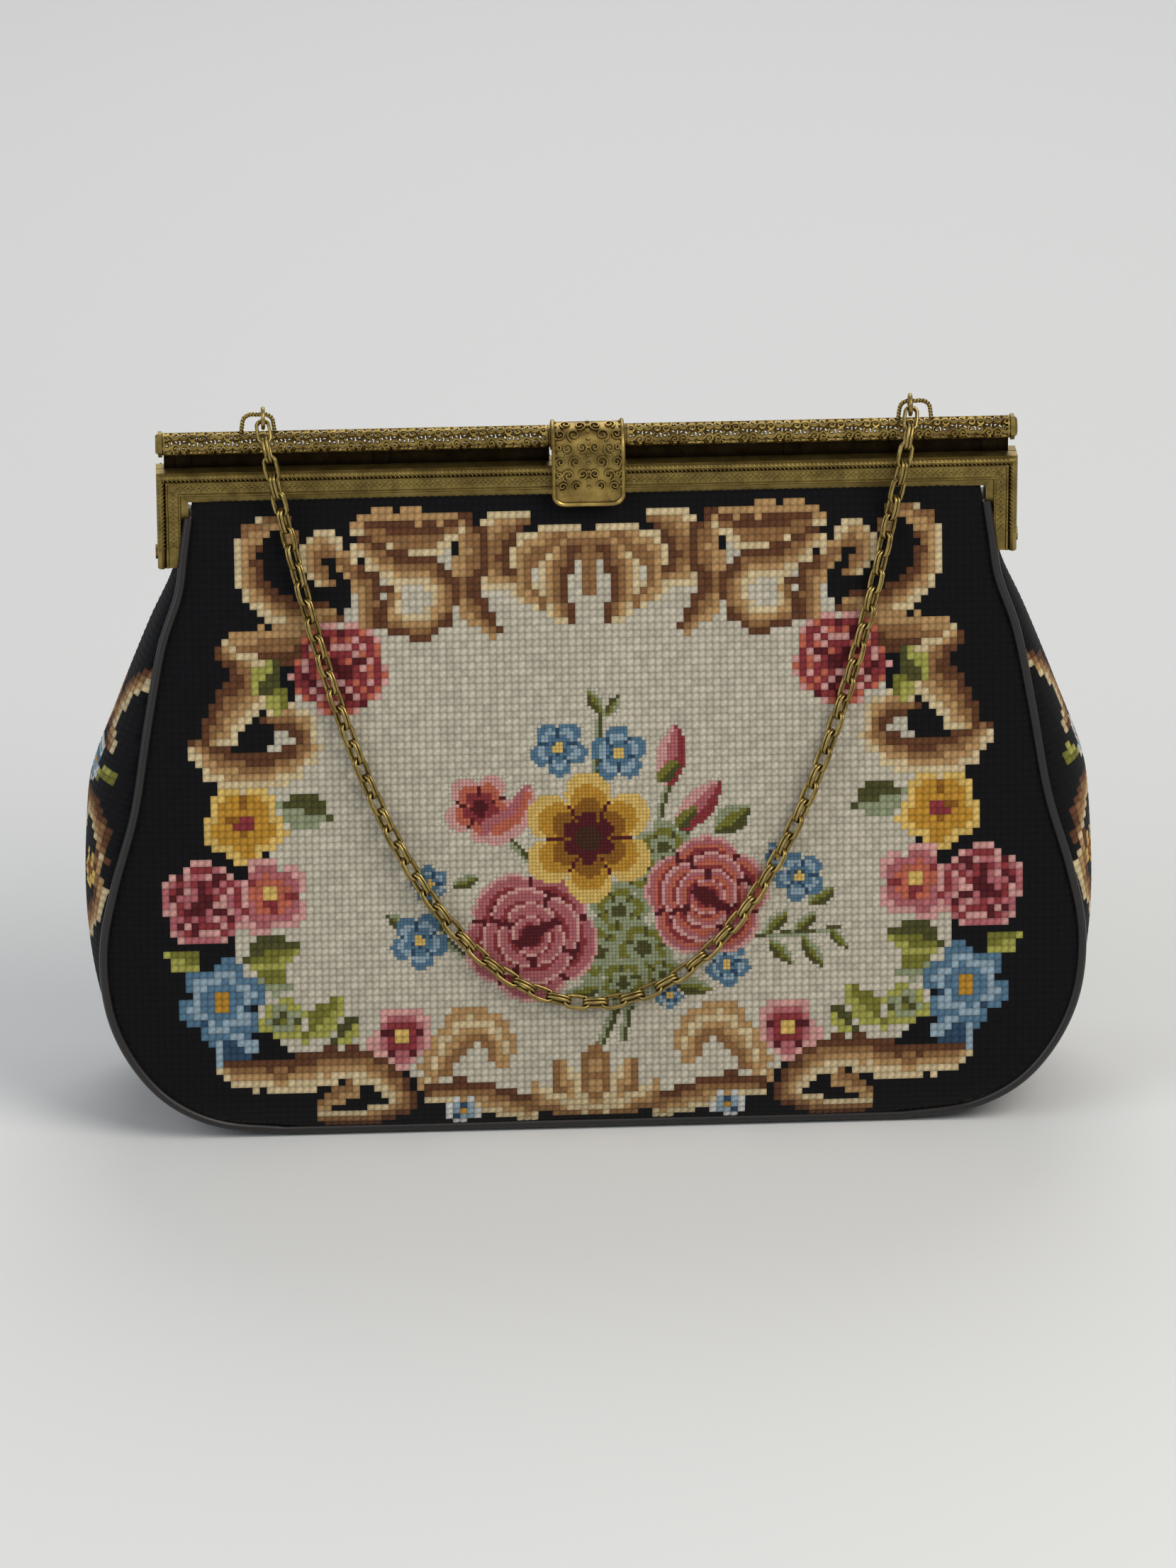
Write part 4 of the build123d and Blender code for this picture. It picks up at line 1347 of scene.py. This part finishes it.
@dataclass
class FiligreeTube:
    """The pierced tube on top: scrolls of flat wire wound on a cylinder."""

    finishes: Finishes
    radius: float = 3.25
    barrel_half: float = 11.4
    pitch: float = 5.2
    sectors: int = 6
    stem_width: float = 0.95
    scroll_width: float = 0.82
    scroll_size: float = 1.2
    ring_steps: int = 24

    def wrap(self, line: np.ndarray, lift: float, centre_z: float) -> tuple[np.ndarray, np.ndarray]:
        """Wind a flat line round the tube.

        Args:
            line: Rows of (along, around) in mm.
            lift: Height over the tube's radius.
            centre_z: Height of the tube's axis.

        Returns:
            The points in metres and their outward directions.
        """
        angle = line[:, 1] / self.radius
        out = np.column_stack([np.zeros(len(line)), -np.cos(angle), np.sin(angle)])
        points = out * (self.radius + lift)
        points[:, 0] += line[:, 0]
        points[:, 2] += centre_z
        return points * MM, out

    def repeat(self, x: float, around: float, flip: int) -> list[tuple[np.ndarray, float]]:
        """Scrolls and stem of one repeat, as flat lines with their widths."""
        steps = np.linspace(0, self.pitch, 11)
        stem = np.column_stack([x + steps, around + flip * 0.85 * np.sin(2 * math.pi * steps / self.pitch)])
        lines = [(stem, self.stem_width)]
        for k, way in ((0.25, -1), (0.75, 1)):
            centre = (x + self.pitch * k, around + flip * way * 0.55)
            scroll = spiral(*centre, self.scroll_size, 1.2, flip * way, 0.6 + 2 * k)
            lines.append((scroll, self.scroll_width))
        return lines

    def build(self) -> bpy.types.Object:
        """Make the tube."""
        low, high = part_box("filigree_tube")
        centre_z = (low.z + high.z) / 2 / MM
        length = high.x / MM - self.barrel_half
        count = round(length / self.pitch)
        self.pitch = length / count
        shapes = []
        sector = 2 * math.pi * self.radius / self.sectors
        for k, n, side in product(range(self.sectors), range(count), (-1, 1)):
            flip = 1 if (n + k) % 2 else -1
            for line, width in self.repeat(self.barrel_half + n * self.pitch, k * sector, flip):
                points, out = self.wrap(line, -0.22, centre_z)
                points[:, 0] *= side
                shapes.append(tube(points, strip_section(width * MM, 0.5 * MM), out))
        circle = np.linspace(0, 2 * math.pi * self.radius, self.ring_steps + 1)[:-1]
        for x in (self.barrel_half + 0.5, high.x / MM - 0.5):
            for side in (-1, 1):
                flat = np.column_stack([np.full(self.ring_steps, x * side), circle])
                ring, out = self.wrap(flat, -0.25, centre_z)
                shapes.append(tube(ring, strip_section(1.0 * MM, 0.6 * MM), out, closed=True))
        shapes.append(self.barrel(centre_z))
        obj = mesh_object("filigree_scrollwork", joined(shapes))
        settle(obj, self.finishes.filigree_brass, Body.BAG)
        self.painted_gap_shadow("left_tube_saddle", -1)
        self.painted_gap_shadow("right_tube_saddle", 1)
        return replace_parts(obj, "filigree_tube")

    def painted_gap_shadow(self, name: str, side: int) -> None:
        """A near-black strip, a painted shadow, that closes the gap between the tube and the rear half of
        the frame.
        """
        low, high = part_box("filigree_tube")
        top, foot = low.z / MM + 0.4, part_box("back_frame")[1].z / MM - 0.3
        inner, outer = self.barrel_half - 0.4, high.x / MM - 0.4
        obj = primitive(bpy.ops.mesh.primitive_cube_add, size=1.0,
                        location=(side * (inner + outer) / 2 * MM, 1.1 * MM, (top + foot) / 2 * MM),
                        scale=((outer - inner) * MM, 1.2 * MM, (top - foot) * MM))
        obj = mesh_object(name, taken_shape(obj))
        # painted shadow: near-black brass on a strip where there is only shade
        settle(obj, self.finishes.shadow_brass, Body.BAG)

    def barrel(self, centre_z: float) -> Shape:
        """The plain stretch under the clasp, open at its ends."""
        obj = primitive(bpy.ops.mesh.primitive_cylinder_add, vertices=28, radius=self.radius * MM,
                        depth=2 * self.barrel_half * MM, location=(0, 0, centre_z * MM),
                        rotation=(0, math.pi / 2, 0))
        pick_parts(obj.data.polygons, lambda face: len(face.vertices) > 4, "FACE")
        bpy.ops.mesh.inset(thickness=0.6 * MM)
        bpy.ops.mesh.delete(type="FACE")
        bpy.ops.object.mode_set(mode="OBJECT")
        return taken_shape(obj)


@dataclass
class FlipClasp:
    """The curved cover that wraps over the tube and snaps on the front half."""

    finishes: Finishes
    half: float = 10.75
    foot: float = 188.0
    rim: float = 0.62
    corner: float = 3.5
    scroll_plan: tuple = (          # across, distance down, size and way of each pair of scrolls
        (2.3, 5.0, 1.9, 1), (6.4, 4.4, 1.8, -1), (4.2, 8.6, 2.0, -1), (8.3, 8.4, 1.5, 1),
        (1.9, 12.2, 1.7, 1), (6.2, 12.6, 2.1, 1), (3.9, 16.4, 1.9, -1), (8.2, 16.4, 1.5, -1),
        (1.8, 20.0, 1.6, 1), (5.9, 20.4, 2.0, -1), (8.6, 12.4, 1.0, -1), (3.4, 23.6, 1.5, -1),
        (7.6, 23.8, 1.5, 1), (8.7, 20.2, 0.9, 1))

    def profile(self) -> np.ndarray:
        """Outer line of the cover from behind the tube down to its foot: rows of (y, z)."""
        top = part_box("clasp")[1].z / MM
        points = [(2.4, top - 0.7), (0.6, top), (-2.8, top - 0.6), (-5.7, top - 2.3), (-7.9, top - 5.8),
                  (-9.0, 200.5), (-9.0, 194), (-9.0, self.foot)]
        return smooth_line(points, 6)

    def on_cover(self, line: np.ndarray, lift: float) -> tuple[np.ndarray, np.ndarray]:
        """Lay a flat line on the cover.

        Args:
            line: Rows of (across, distance down) in mm.
            lift: Height over the cover.

        Returns:
            The points in metres and their outward directions.
        """
        profile = self.profile()
        runs = run_length(profile)
        place = read_line(line[:, 1], runs, profile, (0, 1))
        ahead = heading(line[:, 1], runs, profile, (0, 1), 0.3)
        out = np.column_stack([np.zeros(len(line)), ahead[:, 1], -ahead[:, 0]])
        points = np.column_stack([line[:, 0], place[:, 0], place[:, 1]]) + out * lift
        return points * MM, out

    def cover(self) -> Shape:
        """The bent sheet with rounded lower corners."""
        end, corner = run_length(self.profile())[-1], self.corner
        rounding = end - corner + corner * np.sin(np.linspace(0.2, 1.57, 7))
        rows = np.concatenate([np.linspace(0, end - corner, 22), rounding])
        points, columns = [], 15
        for v in rows:
            down = max(0.0, v - (end - corner))
            half = self.half - corner + math.sqrt(max(corner**2 - down**2, 0.0))
            flat = np.column_stack([np.linspace(-half, half, columns), np.full(columns, v)])
            points.append(self.on_cover(flat, -0.05)[0])
        obj = mesh_object("cover_sheet", (np.vstack(points), grid_faces(len(rows), columns, inward=True)))
        give_wall(obj, 0.7 * MM, -1)
        return taken_shape(obj)

    def scrolls(self) -> list[Shape]:
        """Mirrored scrolls and drops over the whole cover."""
        shapes = []
        for x, down, size, way in self.scroll_plan:
            for side in (-1, 1):
                start = math.pi / 2 * (1 - side) + 1.2 * side
                flat = spiral(x * side, down, size, 1.35, way * side, start, 14)
                points, out = self.on_cover(flat, 0.12)
                shapes.append(tube(points, strip_section(0.62 * MM, 0.7 * MM), out))
        for down in np.arange(2.5, 26, 2.4):
            for x in (0.0, -9.6, 9.6):
                flat = np.array([(x - 0.5, down), (x, down + 0.02), (x + 0.5, down)])
                points, out = self.on_cover(flat, 0.1)
                shapes.append(tube(points, strip_section(1.0 * MM, 0.6 * MM), out))
        return shapes

    def rolled_rim(self) -> Shape:
        """The rolled edge down the sides and round the foot."""
        end, corner = run_length(self.profile())[-1], self.corner
        inset = self.half - self.rim
        side = [(inset, v) for v in np.linspace(0.4, end - corner, 26)]
        arc = [(inset - corner + corner * math.cos(a), end - corner + (corner - self.rim) * math.sin(a))
               for a in np.linspace(0.15, math.pi / 2, 7)]
        right = side + arc
        flat = np.array([*[(-x, v) for x, v in right], *reversed(right)])
        points, _ = self.on_cover(flat, 0.1)
        return tube(points, round_section(self.rim * MM, 8))

    def barrel(self) -> Shape:
        """The ring round the tube that the cover turns on."""
        low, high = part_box("filigree_tube")
        axis_z = (low.z + high.z) / 2
        angle = np.linspace(0, 2 * math.pi, 33)[:-1]
        radius = 3.75 * MM
        ring = np.column_stack([np.zeros(32), radius * np.cos(angle), axis_z + radius * np.sin(angle)])
        out = np.column_stack([np.zeros(32), np.cos(angle), np.sin(angle)])
        half, inner, outer = self.half, -0.36, 0.32
        section = np.array([(-half, inner), (half, inner), (half, outer), (-half, outer)]) * MM
        return tube(ring, section, out, closed=True)

    def build(self) -> bpy.types.Object:
        """Make the clasp."""
        shapes = [self.cover(), *self.scrolls(), self.rolled_rim(), self.barrel()]
        obj = mesh_object("clasp_cover", joined(shapes))
        ease_edges(obj, 40)
        settle(obj, self.finishes.filigree_brass, Body.CLASP)
        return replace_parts(obj, "clasp")


@dataclass
class ChainHandle:
    """Twisted wire hoops, jump rings and the chain of double links."""

    finishes: Finishes
    wire: float = 1.0
    inner_length: float = 6.1
    inner_width: float = 2.75
    pitch: float = 5.5
    sag: float = 40.55
    low: float = 42.0
    end: float = 94.4
    hoop_x: float = 96.0
    hoop_top: float = 215.3
    twist: float = 1.9              # length in which the hoop's two wires wind once

    def point(self, x: float) -> np.ndarray:
        """The chain's centre line: a hanging curve that lies on the front and climbs to its rings."""
        z = self.low + self.sag * (math.cosh(x / self.sag) - 1)
        on_cloth = -(FORM.half_depth(min(z, FORM.panel_top)) + 3.4)
        leave = min(1.0, max(0.0, (z - 176.0) / 15.0))
        return np.array([x, on_cloth * (1 - leave) - 9.35 * leave + 2.85e-5 * max(0.0, z - 191.0) ** 4, z])

    def stations(self) -> list[np.ndarray]:
        """Places of the links, evenly spaced along the line."""
        line = np.array([self.point(self.end * (i / 3000 - 1)) for i in range(6001)])
        runs = run_length(line)
        count = 2 * round(runs[-1] / self.pitch / 2)
        marks = np.linspace(0, runs[-1], count + 1)
        return [np.array([np.interp(m, runs, line[:, k]) for k in range(3)]) for m in marks]

    def double_link(self) -> Shape:
        """Two ovals of round wire side by side, drawn out from rings."""
        radius = self.inner_width / 2 + self.wire / 2
        stretch = (self.inner_length / 2 + self.wire / 2 - radius) * MM
        shapes = []
        for side in (-1, 1):
            obj = primitive(bpy.ops.mesh.primitive_torus_add, major_radius=radius * MM,
                            minor_radius=self.wire / 2 * MM, major_segments=16, minor_segments=6,
                            location=(0, 0, side * self.wire / 2 * MM))
            for way in (-1, 1):
                pick_parts(obj.data.vertices, lambda v: v.co.x * way > 0.05 * MM, "VERT")
                bpy.ops.transform.translate(value=(way * stretch, 0, 0))
                bpy.ops.object.mode_set(mode="OBJECT")
            shapes.append(taken_shape(obj))
        return joined(shapes)

    def chain(self) -> bpy.types.Object:
        """The whole chain, each link at right angles to the next."""
        link, places, shapes = self.double_link(), self.stations(), []
        last = len(places) - 1
        for i, here in enumerate(places):
            along = Vector(self.point(here[0] + 0.05) - self.point(here[0] - 0.05)).normalized()
            across = along.cross(Vector((0, -1, 0))).normalized()
            turn = math.radians(90 * (i % 2) + 45 * min(1.0, min(i, last - i) / 8))
            out = Matrix.Rotation(turn, 3, along) @ along.cross(across)
            shapes.append(placed(link, axes_matrix(along, out.cross(along), out, Vector(here) * MM)))
        obj = mesh_object("chain_links", joined(shapes))
        all_smooth(obj)
        settle(obj, self.finishes.chain_brass, Body.HANDLE)
        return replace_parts(obj, "chain")

    def hoop(self, name: str, side: int) -> bpy.types.Object:
        """A hoop of two wires twisted together."""
        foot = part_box("filigree_tube")[1].z / MM - 0.5
        top = self.hoop_top
        right = [(4.9, foot), (4.6, foot + 2.4), (4.1, top - 1.2), (2.4, top), (0, top)]
        path = smooth_line([*[(-x, z) for x, z in right[:-1]], *reversed(right)], 12)
        line = np.column_stack([path[:, 0] + side * self.hoop_x, np.zeros(len(path)), path[:, 1]])
        runs = run_length(line)
        back = np.array([0, 1, 0])
        across = np.cross(unit_rows(np.gradient(line, axis=0)), back)
        shapes = []
        for phase in (0, math.pi):
            angle = (runs / self.twist * 2 * math.pi + phase)[:, None]
            strand = line + 0.34 * (np.cos(angle) * across + np.sin(angle) * back)
            shapes.append(tube(strand * MM, round_section(0.37 * MM, 6)))
        obj = mesh_object(name, joined(shapes))
        all_smooth(obj)
        settle(obj, self.finishes.chain_brass, Body.BAG)
        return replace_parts(obj, "left_hoop" if side < 0 else "right_hoop")

    def jump_ring(self, name: str, node: str) -> bpy.types.Object:
        """A plain ring of round wire, where the solid one is."""
        low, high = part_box(node)
        centre = (low + high) / 2
        obj = primitive(bpy.ops.mesh.primitive_torus_add, location=centre, rotation=(0, math.pi / 2, 0),
                        major_radius=2.85 * MM, minor_radius=0.6 * MM, major_segments=28, minor_segments=10)
        bpy.ops.object.transform_apply(location=True, rotation=True, scale=True)
        bpy.ops.object.shade_smooth()
        obj.name = name
        settle(obj, self.finishes.chain_brass, Body.HANDLE)
        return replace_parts(obj, node)

    def build(self) -> None:
        """Make the handle and its fittings."""
        self.chain()
        for side, word in ((-1, "left"), (1, "right")):
            self.hoop(f"{word}_twisted_hoop", side)
            self.jump_ring(f"{word}_wire_ring", f"{word}_jump_ring")


@dataclass
class Studio:
    """Pale floor, soft lamps and the camera at the photograph's angle."""

    image_width: int = 1659
    pixel_mm: float = 0.2086          # size of one pixel of the photograph at the bag
    distance_mm: float = 2600.0
    elevation: float = 22.0
    azimuth: float = -3.0
    roll: float = -0.2
    aim: tuple = (-1.1, -20.0, 105.0)

    def camera(self) -> None:
        """Place the camera."""
        data = bpy.data.cameras.new("camera")
        data.sensor_fit = "HORIZONTAL"
        data.sensor_width = 36.0
        data.lens = 36.0 * self.distance_mm / (self.image_width * self.pixel_mm)
        data.clip_start = 0.05
        obj = bpy.data.objects.new("camera", data)
        bpy.context.scene.collection.objects.link(obj)
        lift, turn = math.radians(self.elevation), math.radians(self.azimuth)
        back = Vector((math.cos(lift) * math.sin(turn), -math.cos(lift) * math.cos(turn), math.sin(lift)))
        place = (Vector(self.aim) + back * self.distance_mm) * MM
        look = (-back).to_track_quat("-Z", "Y").to_matrix().to_4x4()
        roll = Matrix.Rotation(math.radians(self.roll), 4, "Z")
        obj.matrix_world = Matrix.Translation(place) @ look @ roll
        bpy.context.scene.camera = obj

    def lamp(self, name: str, place: tuple, size: float, power: float, colour: str) -> None:
        """Add one soft area lamp that faces the bag."""
        data = bpy.data.lights.new(name, "AREA")
        data.shape, data.size, data.energy = "DISK", size, power
        data.color = linear(colour)
        obj = bpy.data.objects.new(name, data)
        bpy.context.scene.collection.objects.link(obj)
        way = Vector((0, 0, 0.1)) - Vector(place)
        obj.matrix_world = Matrix.Translation(place) @ way.to_track_quat("-Z", "Y").to_matrix().to_4x4()

    def floor(self) -> None:
        """A flat pale floor."""
        obj = primitive(bpy.ops.mesh.primitive_plane_add, size=6.0, location=(0, 0, 0))
        obj.name = "pale_floor"
        paint = Dresser.named("pale_paper")
        cloud = paint.add("ShaderNodeTexNoise", {}, {"Scale": 3.0, "Detail": 3.0})
        tone = paint.add("ShaderNodeMix", {"data_type": "RGBA"}, {
            "Factor": cloud.outputs["Fac"], "A": (*linear("dcdcda"), 1), "B": (*linear("e2e2e0"), 1)})
        matt = paint.add("ShaderNodeBsdfPrincipled", {}, {
            "Base Color": tone.outputs["Result"], "Roughness": 0.9})
        paint.add("ShaderNodeOutputMaterial", {}, {"Surface": matt.outputs["BSDF"]})
        obj.data.materials.append(paint.material)

    def build(self) -> None:
        """Set up the camera, the lamps and the floor."""
        self.camera()
        self.floor()
        self.lamp("key_softbox", (0.9, -0.9, 1.3), 1.1, 17.0, "fffaf2")
        self.lamp("left_fill", (-1.2, -0.8, 0.9), 1.2, 8.0, "f2f6ff")
        self.lamp("back_softbox", (0.1, 1.2, 1.3), 1.2, 9.0, "ffffff")
        world = bpy.data.worlds.new("studio")
        world.use_nodes = True
        sky = world.node_tree.nodes["Background"].inputs
        sky["Color"].default_value = (*linear("e8ecf0"), 1)
        sky["Strength"].default_value = 0.42
        bpy.context.scene.world = world
        bpy.context.scene.view_settings.view_transform = "Standard"


def main() -> None:
    """Build the bag around its frame."""
    logging.basicConfig(level=logging.INFO, format="%(name)s %(message)s")
    Studio().build()
    finishes = Finishes.make()
    NeedlepointBody(finishes).build()
    BrassFrame(finishes).build()
    FiligreeTube(finishes).build()
    FlipClasp(finishes).build()
    ChainHandle(finishes).build()
    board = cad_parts["bottom_board"]
    board.data.materials.clear()
    board.data.materials.append(finishes.card)


if __name__ == "__main__":
    main()
